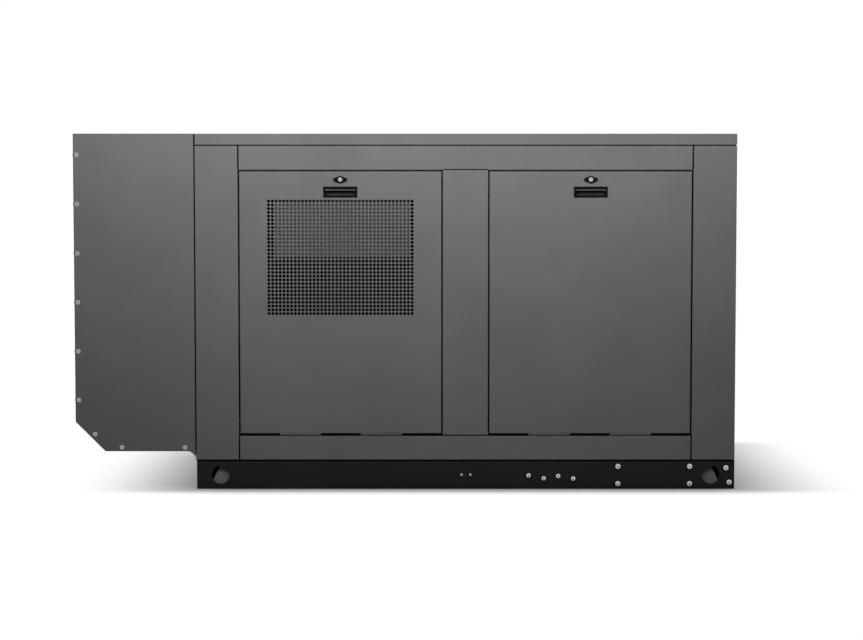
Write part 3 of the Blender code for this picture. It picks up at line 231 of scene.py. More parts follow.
PAINT = {
    "charcoal": coated("charcoal_powder_coat", (0.105, 0.105, 0.107), 0.46, specular=0.12),
    "black": coated("black_enamel", (0.0075, 0.0075, 0.0078), 0.42, 500.0, 0.00015, 0.1, 0.15),
    "box_grey": coated("control_box_coat", (0.25, 0.255, 0.26), 0.42, 900.0, 0.0001),
    "gusset": coated("gusset_enamel", (0.13, 0.13, 0.13), 0.5, specular=0.1),
    "baffle": coated("baffle_sheet", (0.07, 0.071, 0.073), 0.5, specular=0.15),
    "engine": cast("engine_enamel", (0.06, 0.064, 0.069), 0.42),
    "iron": cast("alternator_enamel", (0.095, 0.098, 0.102), 0.5),
    "plastic": moulded("black_plastic", (0.0035, 0.0035, 0.0037), 0.45, specular=0.05),
    "plastic_lip": moulded("grey_plastic", (0.19, 0.19, 0.192), 0.4),
    "plastic_ramp": moulded("dark_plastic", (0.018, 0.018, 0.0185), 0.42),
    "red": moulded("red_plastic", (0.52, 0.018, 0.014), 0.3),
    "yellow": moulded("yellow_plastic", (0.62, 0.36, 0.02), 0.35),
    # painted shade: a near-black laid in screw drive recesses, bolt-crown dimples, the latch's key slot, the
    # engine's gasket line and the alternator's end-bell slots, where shade falls
    "dark_recess": moulded("recess_shadow", (0.02, 0.02, 0.02), 0.6),
    "mark": moulded("pale_mark", (0.6, 0.6, 0.58), 0.5),
    "foam": soft_foam("acoustic_foam", (0.04, 0.04, 0.043)),
    # the filter foam is near-black, darker than real foam: a real part whose colour is painted shade, so that
    # the holes in front of it show dark
    "filter": soft_foam("filter_foam_painted_shade", (0.0015, 0.0015, 0.0015)),
    "galvanised": metal("galvanised_sheet", (0.46, 0.47, 0.48), 0.42, spangle=0.1),
    "aluminium": metal("mill_aluminium", (0.36, 0.36, 0.365), 0.44, (1.0, 1.0, 0.05)),
    "zinc": metal("zinc_plate", (0.44, 0.44, 0.432), 0.5, scale=260.0),
    "bright_zinc": metal("bright_zinc_plate", (0.56, 0.56, 0.552), 0.4, scale=260.0),
    "steel": metal("machined_steel", (0.34, 0.34, 0.345), 0.36, (0.04, 1.0, 1.0)),
    "copper": metal("varnished_copper", (0.46, 0.2, 0.09), 0.35, (1.0, 0.1, 0.1), 300.0),
    "hot_steel": heated("hot_steel", (0.27, 0.24, 0.21), (0.4, 0.29, 0.17)),
    "rubber": ribbed_rubber("black_rubber", (0.0018, 0.0018, 0.0018)),
    # near-black of the door seals, partly real rubber and partly painted shade in the gaps, and of the seam
    # strips, which are painted shade
    "seal_and_seam_shade": ribbed_rubber("near_black_seal_and_seam_shade", (0.0008, 0.0008, 0.0008), 0.9, specular=0.0),
    "belt": ribbed_rubber("ribbed_belt", (0.018, 0.018, 0.018), 0.7, 90.0),
    "core": finned("radiator_core", (0.34, 0.34, 0.35)),
    "screen": clear_coated("dark_screen", (0.012, 0.016, 0.018)),
    "lamp": clear_coated("green_lamp", (0.05, 0.55, 0.12), 0.4),
}


# ---- numbers and outlines
def about(centre, half):
    """A span round a centre."""
    return centre - half, centre + half


def spaced(first, last, count, inset=0.0):
    """Evenly spaced numbers, set in from both ends by so many steps."""
    return [first + (last - first) * (i + inset) / (count - 1 + 2 * inset) for i in range(count)]


def angles(count, start=0.0):
    return [2 * math.pi * (i + start) / count for i in range(count)]


def circle(radius, count, start=0.0):
    return [(radius * math.cos(angle), radius * math.sin(angle)) for angle in angles(count, start)]


def rectangle(u, v):
    return [(u[0], v[0]), (u[1], v[0]), (u[1], v[1]), (u[0], v[1])]


def band(near, far):
    """Faces that join two closed rings of point numbers."""
    return [(near[i - 1], near[i], far[i], far[i - 1]) for i in range(len(near))]


def loft(rings, closed=True):
    """Points and faces of a skin over rings of points, with both ends closed if asked."""
    count = len(rings[0])
    numbers = [range(count * n, count * (n + 1)) for n in range(len(rings))]
    faces = [face for near, far in zip(numbers, numbers[1:]) for face in band(near, far)]
    if closed:
        faces += [tuple(numbers[0]), tuple(numbers[-1])]
    return [point for ring in rings for point in ring], faces


def prism(outline, axis, start, end):
    """An outline pushed along an axis; its two numbers are the other axes in X, Y, Z order."""
    place = {"X": lambda u, v, w: (w, u, v),
             "Y": lambda u, v, w: (u, w, v),
             "Z": lambda u, v, w: (u, v, w)}[axis]
    return loft([[place(u, v, w) for u, v in outline] for w in (start, end)])


def lathe(profile, steps=32, lobes=0, lobe_depth=0.0, lobe_rings=()):
    """Turns (radius, height) points about local Z; chosen rings can be wavy, as a drive recess is."""
    points, faces, rings = [], [], []
    for number, (radius, height) in enumerate(profile):
        count = steps if radius else 1
        depth = lobe_depth if number in lobe_rings else 0.0
        rings.append(range(len(points), len(points) + count))
        for angle in angles(steps)[:count]:
            wide = radius * (1 + depth * math.cos(lobes * angle))
            points.append((wide * math.cos(angle), wide * math.sin(angle), height))
    for low, high in zip(rings, rings[1:]):
        for i in range(steps):
            numbers = [ring[(i + k) % len(ring)] for ring, k in ((low, 0), (low, 1), (high, 1), (high, 0))]
            faces.append(tuple(dict.fromkeys(numbers)))
    faces += [tuple(ring) for ring in (rings[0], rings[-1]) if len(ring) > 1]
    return points, faces


def smooth_path(knots, steps):
    """Points of a Catmull-Rom curve through a few knots."""
    ends = [2 * Vector(knots[0]) - Vector(knots[1]), 2 * Vector(knots[-1]) - Vector(knots[-2])]
    line = [ends[0]] + [Vector(k) for k in knots] + [ends[1]]
    path = []
    for a, b, c, d in zip(line, line[1:], line[2:], line[3:]):
        for step in range(steps):
            t = step / steps
            path.append(0.5 * (2 * b + (c - a) * t + (2 * a - 5 * b + 4 * c - d) * t * t
                               + (3 * b - a - 3 * c + d) * t ** 3))
    return path + [line[-2]]


def standing(at, axis, turn=0.0):
    """Places local +Z along an axis at a point."""
    spin = Matrix.Rotation(turn, 4, "Z")
    return Matrix.Translation(at) @ Vector(axis).to_track_quat("Z", "Y").to_matrix().to_4x4() @ spin


# ---- pieces
class Shape:
    """Points and faces of one piece; each face carries a paint number and a smooth flag."""

    def __init__(self):
        self.points, self.faces, self.paints, self.smooth = [], [], [], []

    def join(self, faces, paint=0, smooth=False):
        """Faces between points that are here already."""
        self.faces += faces
        self.paints += [paint] * len(faces)
        self.smooth += [smooth] * len(faces)

    def add(self, part, paint=0, smooth=False, matrix=Matrix()):
        points, faces = part
        base = len(self.points)
        self.points += [matrix @ Vector(point) for point in points]
        self.join([[base + i for i in face] for face in faces], paint, smooth)

    def block(self, x, y, z, paint=0, matrix=Matrix()):
        """A box over three spans, whose ends can be in either order."""
        self.add(prism(rectangle(x, y), "Z", *z), paint, False, matrix)

    def pipe(self, path, radius, sides=16, paint=0, ribs=0.0, every=2):
        """A closed pipe along a path, with raised ribs at every so many points if asked."""
        rings = []
        side = (path[1] - path[0]).orthogonal().normalized()
        for number, point in enumerate(path):
            ahead = (path[min(number + 1, len(path) - 1)] - path[max(number - 1, 0)]).normalized()
            side = (side - ahead * side.dot(ahead)).normalized()
            other = ahead.cross(side)
            wide = radius + (ribs if number % every == 0 else 0.0)
            rings.append([point + side * a + other * b for a, b in circle(wide, sides)])
        self.add(loft(rings), paint, True)

    def hoop(self, centre, axis, radius, wire, steps=48, paint=0):
        """A closed wire ring about an axis."""
        path = [standing(centre, axis) @ Vector((a, b, 0.0)) for a, b in circle(radius, steps)]
        self.pipe(path + path[:1], wire, 10, paint)

    def turned(self, at, axis, profile, paint=0, steps=32, lobes=(), rim=0.0):
        """A turned form on an axis: (radius, height) pairs in mm, the radii measured from the rim."""
        line = [(rim + radius / 1000, height / 1000) for radius, height in profile]
        self.add(lathe(line, steps, *lobes), paint, True, standing(at, axis))

    def washer(self, place, radius, thick, paint):
        """A flat washer with a worn rim, its sizes in metres."""
        line = [(radius, 0.0), (radius, thick * 0.7), (radius - thick * 0.3, thick), (0.0, thick)]
        self.add(lathe(line), paint, True, place)

    def hex_head(self, at, axis, flats, tall, turn=0.0, paint=0):
        """A hexagon bolt head with its chamfered crown, on a flat washer; sizes in mm."""
        place = standing(at, axis, turn)
        flats, tall = flats / 1000, tall / 1000
        self.washer(place, flats * 0.62, tall * 0.28, paint)
        self.add(prism(circle(flats / math.sqrt(3), 6), "Z", tall * 0.28, tall), paint, False, place)
        crown = [(flats * 0.47, tall), (flats * 0.4, tall * 1.1), (0.0, tall * 1.13)]
        self.add(lathe(crown), paint, True, place)

    def bolts(self, places, axis, flats=12, tall=7, paint=0):
        """Hexagon heads at some places, each turned a little further than the last."""
        for number, at in enumerate(places):
            self.hex_head(at, axis, flats, tall, 0.6 * number, paint)

    def button_head(self, at, axis, radius, tall, turn=0.0, paints=(0, 1)):
        """A domed screw head on a washer, with a six-lobed drive recess; sizes in mm."""
        place = standing(at, axis, turn)
        radius, tall = radius / 1000, tall / 1000
        thick, rim = tall * 0.25, radius * 0.28
        self.washer(place, radius, thick, paints[0])
        dome = [(radius * 0.8 * math.cos(angle), thick + (tall - thick) * math.sin(angle))
                for angle in angles(20)[:4]]
        self.add(lathe(dome + [(rim, tall)], 30), paints[0], True, place)
        # the drive recess takes the second paint; every caller gives it the near-black of painted shade
        recess = [(rim, tall * 1.01), (rim * 0.92, tall * 1.02), (rim * 0.8, tall * 0.62), (0.0, tall * 0.55)]
        self.add(lathe(recess, 30, 6, 0.12, (1, 2)), paints[1], False, place)


def make(name, shape, paints, body="root", bevel=0.0, segments=2, replaced=None, angle=35):
    """One visible piece: its mesh, materials, edge rounding, and the body it rides on."""
    mesh = bpy.data.meshes.new(name)
    mesh.from_pydata(shape.points, [], shape.faces)
    for paint in paints.split():
        mesh.materials.append(PAINT[paint])
    mesh.polygons.foreach_set("material_index", shape.paints)
    mesh.polygons.foreach_set("use_smooth", shape.smooth)
    bm = bmesh.new()
    bm.from_mesh(mesh)
    bmesh.ops.recalc_face_normals(bm, faces=bm.faces)
    bm.to_mesh(mesh)
    bm.free()
    thing = bpy.data.objects.new(name, mesh)
    bpy.context.scene.collection.objects.link(thing)
    if any(shape.smooth):
        mesh.set_sharp_from_angle(angle=math.radians(angle))
    if bevel:
        round_edges(thing, bevel, segments)
    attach(thing, body)
    if replaced:
        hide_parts(replaced)
    return thing


def round_edges(thing, width, segments=2):
    """Rounds the sharp edges, then joins the points that a bevel leaves on top of each other."""
    step = thing.modifiers.new("edges", "BEVEL")
    step.width = width
    step.segments = segments
    step.limit_method = "ANGLE"
    step.angle_limit = math.radians(50)
    step.harden_normals = False
    clean = thing.modifiers.new("clean", "WELD")
    clean.mode = "CONNECTED"
    clean.merge_threshold = 0.000003


def dress(node, paint, bevel=0.0):
    """Gives a CAD node its finish and rounds its edges."""
    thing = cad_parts[node]
    thing.data.materials.clear()
    thing.data.materials.append(PAINT[paint])
    if bevel:
        weld = thing.modifiers.new("weld", "WELD")
        weld.merge_threshold = 0.00002
        flat = thing.modifiers.new("flat", "DECIMATE")
        flat.decimate_type = "DISSOLVE"
        flat.angle_limit = math.radians(0.5)
        round_edges(thing, bevel)


# ---- doors
SHEET = 0.0025
DOOR_DEPTH = 0.025
FOLD = 0.0035                   # outer radius of a folded edge
FOLD_STEPS = 4
HEADER_LIP_DROP = 0.0022        # turned-down lip along the header's lower edge
HOLE_PITCH = (0.01344, 0.01335)
HOLES = (39, 31)
HOLE_RADIUS = 0.0057
HOLE_SIDES = 12
FIELD_MIDDLE_Z = 0.8305
WING = ((0, 11.8), (6, 11.2), (12, 8.8), (18, 6.4), (22.4, 5.2), (24, 3.4))     # knob's quarter, in mm
TAB_LENGTH = 0.147
TAB_OFFSET = 0.145
BEAD_RADIUS = 0.0022
PULL_WIDTH = 0.117
PULL_HEIGHT = 0.035
FOAM_WAVE = 0.045               # pitch of the foam's wedges
FOAM_COLUMNS = 96
FOAM_EDGE = 0.012               # how far in from its edge the pad is rounded
PIN_REACH = 0.018               # how far round a pin the foam is pulled in


def lay(side, u, v, depth):
    """A point on a door: across, up, and inwards from the cover face."""
    return Vector((u, side * (FACE - depth), v))


def depths(side, near, far):
    """A span of Y between two depths in from the cover face."""
    return side * (FACE - near), side * (FACE - far)


def flat_sheet(side, depth, cuts_u, cuts_v, edge_u, edge_v, openings):
    """One skin of a door: a grid of panes but for its openings, and the field of holes."""
    points, faces, rims, index = [], [], [], {}

    def point(u, v):
        key = (round(u, 6), round(v, 6))
        if key not in index:
            index[key] = len(points)
            points.append(lay(side, u, v, depth))
        return index[key]
    for u0, u1 in zip(cuts_u, cuts_u[1:]):
        for v0, v1 in zip(cuts_v, cuts_v[1:]):
            if any(u[0] <= u0 < u[1] and v[0] <= v0 < v[1] for u, v in openings):
                continue
            # a pane beside the field has a point at the edge of every cell there
            along_u = [u for u in edge_u if u0 < u < u1]
            along_v = [v for v in edge_v if v0 < v < v1]
            bottom = [(u, v0) for u in along_u if v0 == edge_v[-1]]
            right = [(u1, v) for v in along_v if u1 == edge_u[0]]
            top = [(u, v1) for u in along_u[::-1] if v1 == edge_v[0]]
            left = [(u0, v) for v in along_v[::-1] if u0 == edge_u[-1]]
            walk = [(u0, v0), *bottom, (u1, v0), *right, (u1, v1), *top, (u0, v1), *left]
            faces.append([point(*place) for place in walk])
    ring = circle(HOLE_RADIUS, HOLE_SIDES, 0.5)
    quarter = HOLE_SIDES // 4
    for u0, u1 in zip(edge_u, edge_u[1:]):
        # cut lines that end on the field's border need a point there too
        between = [u for u in cuts_u if u0 + 1e-6 < u < u1 - 1e-6]
        for v0, v1 in zip(edge_v, edge_v[1:]):
            start = len(points)
            points += [lay(side, (u0 + u1) / 2 + a, (v0 + v1) / 2 + b, depth) for a, b in ring]
            corners = [point(u1, v1), point(u0, v1), point(u0, v0), point(u1, v0)]
            extra = [[point(u, v1) for u in between[::-1] if v1 == edge_v[-1]], [],
                     [point(u, v0) for u in between if v0 == edge_v[0]], []]
            for q in range(4):
                arc = [start + (q * quarter + quarter // 2 + k) % HOLE_SIDES for k in range(quarter + 1)]
                faces.append([corners[q], *extra[q], corners[(q + 1) % 4], *arc[::-1]])
            rims.append(range(start, start + HOLE_SIDES))
    return points, faces, rims


def door_panel(label, side, bay):
    """Folded sheet door: rounded rim, hinge beads, the pull's cut-out and, on an inlet door, holes."""
    low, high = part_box(f"door_{label}_{bay}")
    x0, x1, z0, z1 = low.x, high.x, SILL_TOP + DOOR_GAP, high.z - HEADER_LIP_DROP
    middle = (x0 + x1) / 2
    pull_low, pull_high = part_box(f"pull_cup_{label}_{bay}")
    pull_u = about(middle, PULL_WIDTH / 2)
    pull_v = about((pull_low.z + pull_high.z) / 2, PULL_HEIGHT / 2)
    openings, holes = [(pull_u, pull_v)], ([], [])
    if bay == "left":
        holes = [spaced(*about(centre, count * pitch / 2), count + 1)
                 for centre, count, pitch in zip((middle, FIELD_MIDDLE_Z), HOLES, HOLE_PITCH)]
        openings.append([(line[0], line[-1]) for line in holes])
    cuts = [sorted([first + FOLD, last - FOLD, *pull, *line[:1], *line[-1:]])
            for first, last, pull, line in ((x0, x1, pull_u, holes[0]), (z0, z1, pull_v, holes[1]))]
    shape = Shape()
    skins = []
    for depth in (0.0, SHEET):
        points, faces, rims = flat_sheet(side, depth, *cuts, *holes, openings)
        base = len(shape.points)
        skins.append([[base + i for i in rim] for rim in rims])
        shape.add((points, faces))
    for front, back in zip(*skins):
        shape.join(band(front, back), smooth=True)
    # folded rim: outer arc, flange, and the inner arc back to the inside skin
    arc = [(1 - math.sin(angle), 1 - math.cos(angle)) for angle in angles(4 * FOLD_STEPS)[:FOLD_STEPS + 1]]
    profile = [(FOLD * inset, FOLD * depth) for inset, depth in arc]
    profile += [(0.0, DOOR_DEPTH), (SHEET, DOOR_DEPTH)]
    tight = FOLD - SHEET
    profile += [(SHEET + tight * inset, SHEET + tight * depth) for inset, depth in arc[::-1]]
    inner_u, inner_v = cuts[0][1:-1], cuts[1][1:-1]
    rings = []
    for inset, depth in profile:
        (left, right), (bottom, top) = (x0 + inset, x1 - inset), (z0 + inset, z1 - inset)
        walk = [(u, bottom) for u in (left, *inner_u)] + [(right, v) for v in (bottom, *inner_v)]
        walk += [(u, top) for u in (right, *inner_u[::-1])] + [(left, v) for v in (top, *inner_v[::-1])]
        rings.append([lay(side, u, v, depth) for u, v in walk])
    shape.add(loft(rings, closed=False), smooth=True)
    # lined edge of the pull's cut-out
    edge = rectangle(pull_u, pull_v)
    shape.add(loft([[lay(side, u, v, depth) for u, v in edge] for depth in (0.0, SHEET)], closed=False))
    hinge_z = z0 - DOOR_GAP / 2
    bead = [(side * (FACE - BEAD_RADIUS) + a, hinge_z + b) for a, b in circle(BEAD_RADIUS, 16)]
    for offset in (-TAB_OFFSET, TAB_OFFSET):
        tab = about(middle + offset, TAB_LENGTH / 2)
        shape.add(prism(bead, "X", *tab))
        shape.block(tab, depths(side, 0.0012, 0.0034), (hinge_z, z0 + 0.004))
    make(f"door_panel_{label}_{bay}", shape, "charcoal", f"{label}_{bay}_door",
         replaced=f"door_{label}_{bay}", angle=30)


def grid(columns, rows):
    """Faces between points laid row by row, and the numbers of the points round the border."""
    across = columns + 1
    last = rows * across
    faces = [(a, a + 1, a + 1 + across, a + across) for row in range(rows)
             for a in range(row * across, row * across + columns)]
    rim = [*range(columns), *range(columns, last + columns, across), *range(last + columns, last, -1),
           *range(last, 0, -across)]
    return faces, rim


def foam_liner(label, side, bay):
    """Acoustic foam pad with a wedge-cut face, its edges pulled in by pins and washers."""
    low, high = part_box(f"door_liner_{label}_{bay}")
    size = high - low
    inner, backing = sorted((low.y, high.y), key=abs)
    thick = abs(backing - inner)
    rows = max(24, int(FOAM_COLUMNS * size.z / size.x))
    pins = [(low.x + size.x * u, low.z + size.z * v) for u in (0.12, 0.5, 0.88) for v in (0.12, 0.88)]
    points = []
    for z in spaced(low.z, high.z, rows + 1):
        for x in spaced(low.x, high.x, FOAM_COLUMNS + 1):
            border = max(0.0, min(x - low.x, high.x - x, z - low.z, high.z - z))
            # the wedges' tips and valleys lie at 1 and 0.55 of the thickness
            wedges = math.cos(2 * math.pi * x / FOAM_WAVE) + math.cos(2 * math.pi * z / FOAM_WAVE)
            height = (0.775 + 0.1125 * wedges) * min(1.0, 0.35 + 0.65 * math.sqrt(border / FOAM_EDGE))
            for pin_x, pin_z in pins:
                height *= 1 - 0.45 * math.exp(-(math.hypot(x - pin_x, z - pin_z) / PIN_REACH) ** 2)
            points.append((x, backing - side * thick * height, z))
    faces, rim = grid(FOAM_COLUMNS, rows)
    back = range(len(points), len(points) + len(rim))
    points += [(points[i][0], backing, points[i][2]) for i in rim]
    shape = Shape()
    shape.add((points, faces + band(rim, back) + [tuple(back)]), smooth=True)
    pad = make(f"foam_liner_{label}_{bay}", shape, "foam", f"{label}_{bay}_door",
               replaced=f"door_liner_{label}_{bay}", angle=60)
    caps = Shape()
    for x, z in pins:
        caps.turned((x, backing - side * thick * 0.6, z), -side * Y,
                    ((13, 0), (13, 0.8), (11, 1.6), (4, 2), (2.5, 3.2), (0, 3.4)), 0, 24)
    make(f"liner_washers_{label}_{bay}", caps, "zinc", f"{label}_{bay}_door")


def turn_latch(label, side, bay):
    """Wing knob with its bright lock core, the shaft through the door, and the cam plate and nut."""
    low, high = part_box(f"latch_{label}_{bay}")
    door_low, door_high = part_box(f"door_{label}_{bay}")
    middle, height = (door_low.x + door_high.x) / 2, (low.z + high.z) / 2
    cam, proud = sorted((low.y, high.y), key=abs)
    seat, out = (middle, side * FACE, height), side * Y
    top, inner = ((abs(y) - FACE) * 1000 for y in (proud, cam))
    top -= 1.2
    core = top - 1
    shape = Shape()
    shape.turned(seat, out, ((13, 0.3), (13, 2), (12.4, top - 1.4), (11.2, top - 0.2), (8.8, top),
                             (8.6, core), (0, core)), 0, 48)
    half = [*WING, *((x, -z) for x, z in WING[::-1])]
    knob = half + [(-x, z) for x, z in half[-2:0:-1]]
    shape.add(prism([(middle + x / 1000, height + z / 1000) for x, z in knob], "Y",
                    *depths(side, -0.0003, -0.0046)))
    shape.turned(seat, out, ((7.6, core), (7.6, core + 1.2), (7, core + 1.8), (6.3, core + 1.8),
                             (5.9, core + 1.3), (0, core + 1.3)), 1, 40)
    # key slot across the lock core, a near-black block of painted shade
    shape.block(about(0, 0.0008), about(0, 0.0033), ((core + 1.3) / 1000, (core + 1.45) / 1000), 2,
                standing(seat, out))
    # shaft, cam plate, spring washer and nut
    shape.turned(seat, out, ((0, inner), (8.5, inner), (8.5, 0), (0, 0)), 3)
    reach = max(low.x, high.x, key=lambda x: abs(x - middle))
    way = 1 if reach > middle else -1
    edge = [(middle - way * 0.012, 0.0085), (middle + way * 0.01, 0.0115), (reach - way * 0.006, 0.0095),
            (reach, 0.006)]
    plate = [(x, height - z) for x, z in edge] + [(x, height + z) for x, z in edge[::-1]]
    shape.add(prism(plate, "Y", cam, cam + side * 0.003), 1)
    back = standing((middle, cam, height), -out)
    shape.washer(back, 0.009, 0.001, 1)
    shape.add(prism(circle(0.0066, 6), "Z", 0.001, 0.0034), 1, False, back)
    make(f"turn_latch_{label}_{bay}", shape, "plastic bright_zinc dark_recess steel",
         f"{label}_{bay}_latch", 0.0007, 3, f"latch_{label}_{bay}")


def pull_tray(label, side, bay):
    """Moulded recessed pull: a lighter lip under the top edge, a sloped ramp below, and black cheeks."""
    low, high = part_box(f"pull_cup_{label}_{bay}")
    middle, half = (low.x + high.x) / 2, PULL_WIDTH / 2 - 0.0055
    top, foot = high.z - 0.0085, low.z + 0.0062
    lip = [(top, -0.0004), (top, 0.0055), (top - 0.003, 0.0055), (top - 0.0045, 0.0012),
           (top - 0.0045, -0.0004)]
    ramp = [(foot, 0.001), (foot + 0.01, 0.015), (foot + 0.01, 0.0162), (foot, 0.0162)]
    shape = Shape()
    for paint, outline in enumerate((lip, ramp)):
        line = [(side * (FACE - depth), z) for z, depth in outline]
        shape.add(prism(line, "X", *about(middle, half)), paint)
    for x in about(middle, half - 0.004):
        shape.block(about(x, 0.001), depths(side, 0.002, 0.016), (foot + 0.0015, top - 0.002), 2)
    make(f"pull_tray_{label}_{bay}", shape, "plastic_lip plastic_ramp plastic", f"{label}_{bay}_door",
         bevel=0.0005)


def doors():
    for label, side in SIDES.items():
        for bay in BAYS:
            for piece in (door_panel, foam_liner, turn_latch, pull_tray):
                piece(label, side, bay)
            dress(f"pull_cup_{label}_{bay}", "plastic", 0.0008)
    dress("inlet_baffle", "baffle", 0.0006)


# ---- outside fasteners
PLENUM_FLOOR = 0.136
PLENUM_SCREWS = [0.075 + 0.175 * i for i in range(6)]           # down from the roof


def plenum_screws():
    """Screws down the plenum's corner and along its chamfer and floor."""
    places = [(PLENUM_LOW.x + 0.0125, PLENUM_HIGH.z - down) for down in PLENUM_SCREWS]
    places += [(PLENUM_LOW.x + 0.0694, PLENUM_FLOOR + 0.0614), (PLENUM_LOW.x + 0.165, PLENUM_FLOOR + 0.0142),
               (PLENUM_HIGH.x - 0.0375, PLENUM_FLOOR + 0.013)]
    for label, side in SIDES.items():
        shape = Shape()
        for number, (x, z) in enumerate(places):
            shape.button_head((x, side * FACE, z), side * Y, 8.2, 4.6, 0.4 * number)
        make(f"plenum_screws_{label}", shape, "zinc dark_recess")


def rail_bolts():
    """Bolt patterns on both base rails, on dark washers and with a forged dimple in each crown, the dimple
    painted near-black as shade.
    """
    big = [(RIGHT - 0.418, 0.082), (RIGHT - 0.418, 0.02), (RIGHT - 0.161, 0.082), (RIGHT - 0.161, 0.02),
           (RIGHT - 0.031, 0.077), (RIGHT - 0.019, 0.025)]
    small = [(0.4417, 0.049), (0.4964, 0.0387), (0.5479, 0.047), (0.602, 0.038)]
    for label, side in SIDES.items():
        shape = Shape()
        out = side * Y
        for places, flats, tall, turn in ((big, 15, 7.5, 0.35), (small, 12.8, 6.5, 0.5)):
            for number, (x, z) in enumerate(places):
                at = Vector((x, side * FACE, z))
                shape.washer(standing(at, out), flats * 0.0008, 0.0012, 2)
                shape.hex_head(at + out * 0.0012, out, flats, tall, turn * number)
                # dimple in the crown, drawn in the near-black of painted shade
                crown = at + out * (0.0012 + tall * 0.00113)
                shape.turned(crown, out, ((flats * 0.2, 0), (flats * 0.17, 0.2), (0, 0.2)), 1, 20)
        for number, x in enumerate((0.2017, 0.2332)):
            shape.button_head((x, side * FACE, 0.0515), out, 4.2, 2.6, 0.3 * number)
        make(f"rail_bolts_{label}", shape, "bright_zinc dark_recess rubber")


# ---- seals, seams and filters
SEAL = ((5, 0), (3, 0), (1.6, 1.2), (1, 3.5), (1.6, 5.8), (3, 7), (5, 7))   # out and deep, in mm
SEAL_DEPTH = 0.003
SEAL_REACH = 0.005
SEAM = 0.0052
CHAMFER = 0.106                 # the plenum's cut corner
FILTER_HALF = (0.2685, 0.211)
FILTER_DEPTH = 0.0208
FILTER_GRID = (60, 48)


def wrap_line(shape, side):
    """Thin near-black line of painted shade along the joint where the plenum's wrap meets its front and rear
    panels.
    """
    left, floor, top = PLENUM_LOW.x + 0.0012, PLENUM_FLOOR + 0.0012, ROOF - 0.0012
    line = [(PLENUM_HIGH.x - 0.002, top), (left, top), (left, PLENUM_FLOOR + CHAMFER),
            (PLENUM_LOW.x + CHAMFER, floor), (PLENUM_HIGH.x - 0.034, floor)]
    line = [Vector(point) for point in line]
    for a, b in zip(line, line[1:]):
        ahead = (b - a).normalized() * 0.0005
        across = Vector((-ahead.y, ahead.x))
        outline = [tuple(point) for point in (a - across, b - across, b + across, a + across)]
        shape.add(prism(outline, "Y", *depths(side, -0.00025, 0.0005)))


def seals_and_seams():
    """Rubber seals round the door openings, near-black so that they also stand for the shade in the door
    gaps, and near-black strips of painted shade in the seams between cover pieces.
    """
    header_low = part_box("post_centre_front")[1].z
    header_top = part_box("post_left_front")[1].z
    post_left, post_right = (corner.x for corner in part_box("post_centre_front"))
    # spans of x and z, and the two depths, of the seams that run on past the doors
    roof, rail = (header_top - 0.0005, header_top + 0.0035), (BASE_HIGH.z - 0.0018, BASE_HIGH.z + 0.0044)
    # the seams below are near-black strips of painted shade set into the joints
    seams = [((BASE_LOW.x + 0.002, RIGHT - 0.004), roof, -0.0001, 0.006),
             ((BASE_LOW.x + 0.001, RIGHT - 0.001), rail, -0.0003, 0.0015),
             ((PLENUM_HIGH.x - 0.0008, PLENUM_HIGH.x + 0.0042), (0.14, ROOF - 0.001), -0.0001, 0.006)]
    seams += [((post_left + 0.001, post_right - 0.001), about(z, 0.0018), -0.0002, 0.0005)
              for z in (SILL_TOP, header_low)]
    for label, side in SIDES.items():
        seal, seal_and_seam_shade, lip_edge = Shape(), Shape(), Shape()
        section = [(out / 1000, side * (FACE - SEAL_DEPTH - depth / 1000)) for out, depth in SEAL]
        for bay in BAYS:
            low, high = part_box(f"door_front_{bay}")
            x0, x1, z0, z1 = low.x, high.x, SILL_TOP + DOOR_GAP, high.z
            for edge, way in ((x0, -1), (x1, 1)):
                outline = [(edge + way * out, y) for out, y in section]
                seal.add(prism(outline, "Z", z0 - 0.002, z1 + SEAL_REACH))
            seal.add(prism([(y, z1 + out) for out, y in section], "X", x0 - SEAL_REACH, x1 + SEAL_REACH))
            # a near-black strip behind the door's bottom gap, part seal and part painted shade, so that the
            # gap shows dark
            seal.block((x0 + 0.001, x1 - 0.001), depths(side, 0.01, 0.018), (SILL_TOP + 0.0001, z0 - 0.0004))
            # the header and the sill run unbroken past the centre post: only the corner posts have seams
            x = about(x0 - 0.0035 if bay == "left" else x1 + 0.0035, SEAM / 2)
            for z in ((header_low, header_top), (BASE_HIGH.z + 0.001, SILL_TOP - 0.001)):
                seal_and_seam_shade.block(x, depths(side, -0.0001, 0.006), z)
            lip_edge.block((x0 - 0.0046, x1 + 0.0046), depths(side, 0.0, 0.0026),
                           (header_low + 0.0002 - HEADER_LIP_DROP, header_low + 0.0002))
        for x, z, near, far in seams:
            seal_and_seam_shade.block(x, depths(side, near, far), z)
        wrap_line(seal_and_seam_shade, side)
        make(f"door_seals_{label}", seal, "seal_and_seam_shade")
        # the seam strips: near-black painted shade in the joints
        make(f"seam_shade_strips_{label}", seal_and_seam_shade, "seal_and_seam_shade")
        make(f"header_lips_{label}", lip_edge, "charcoal", bevel=0.0006)


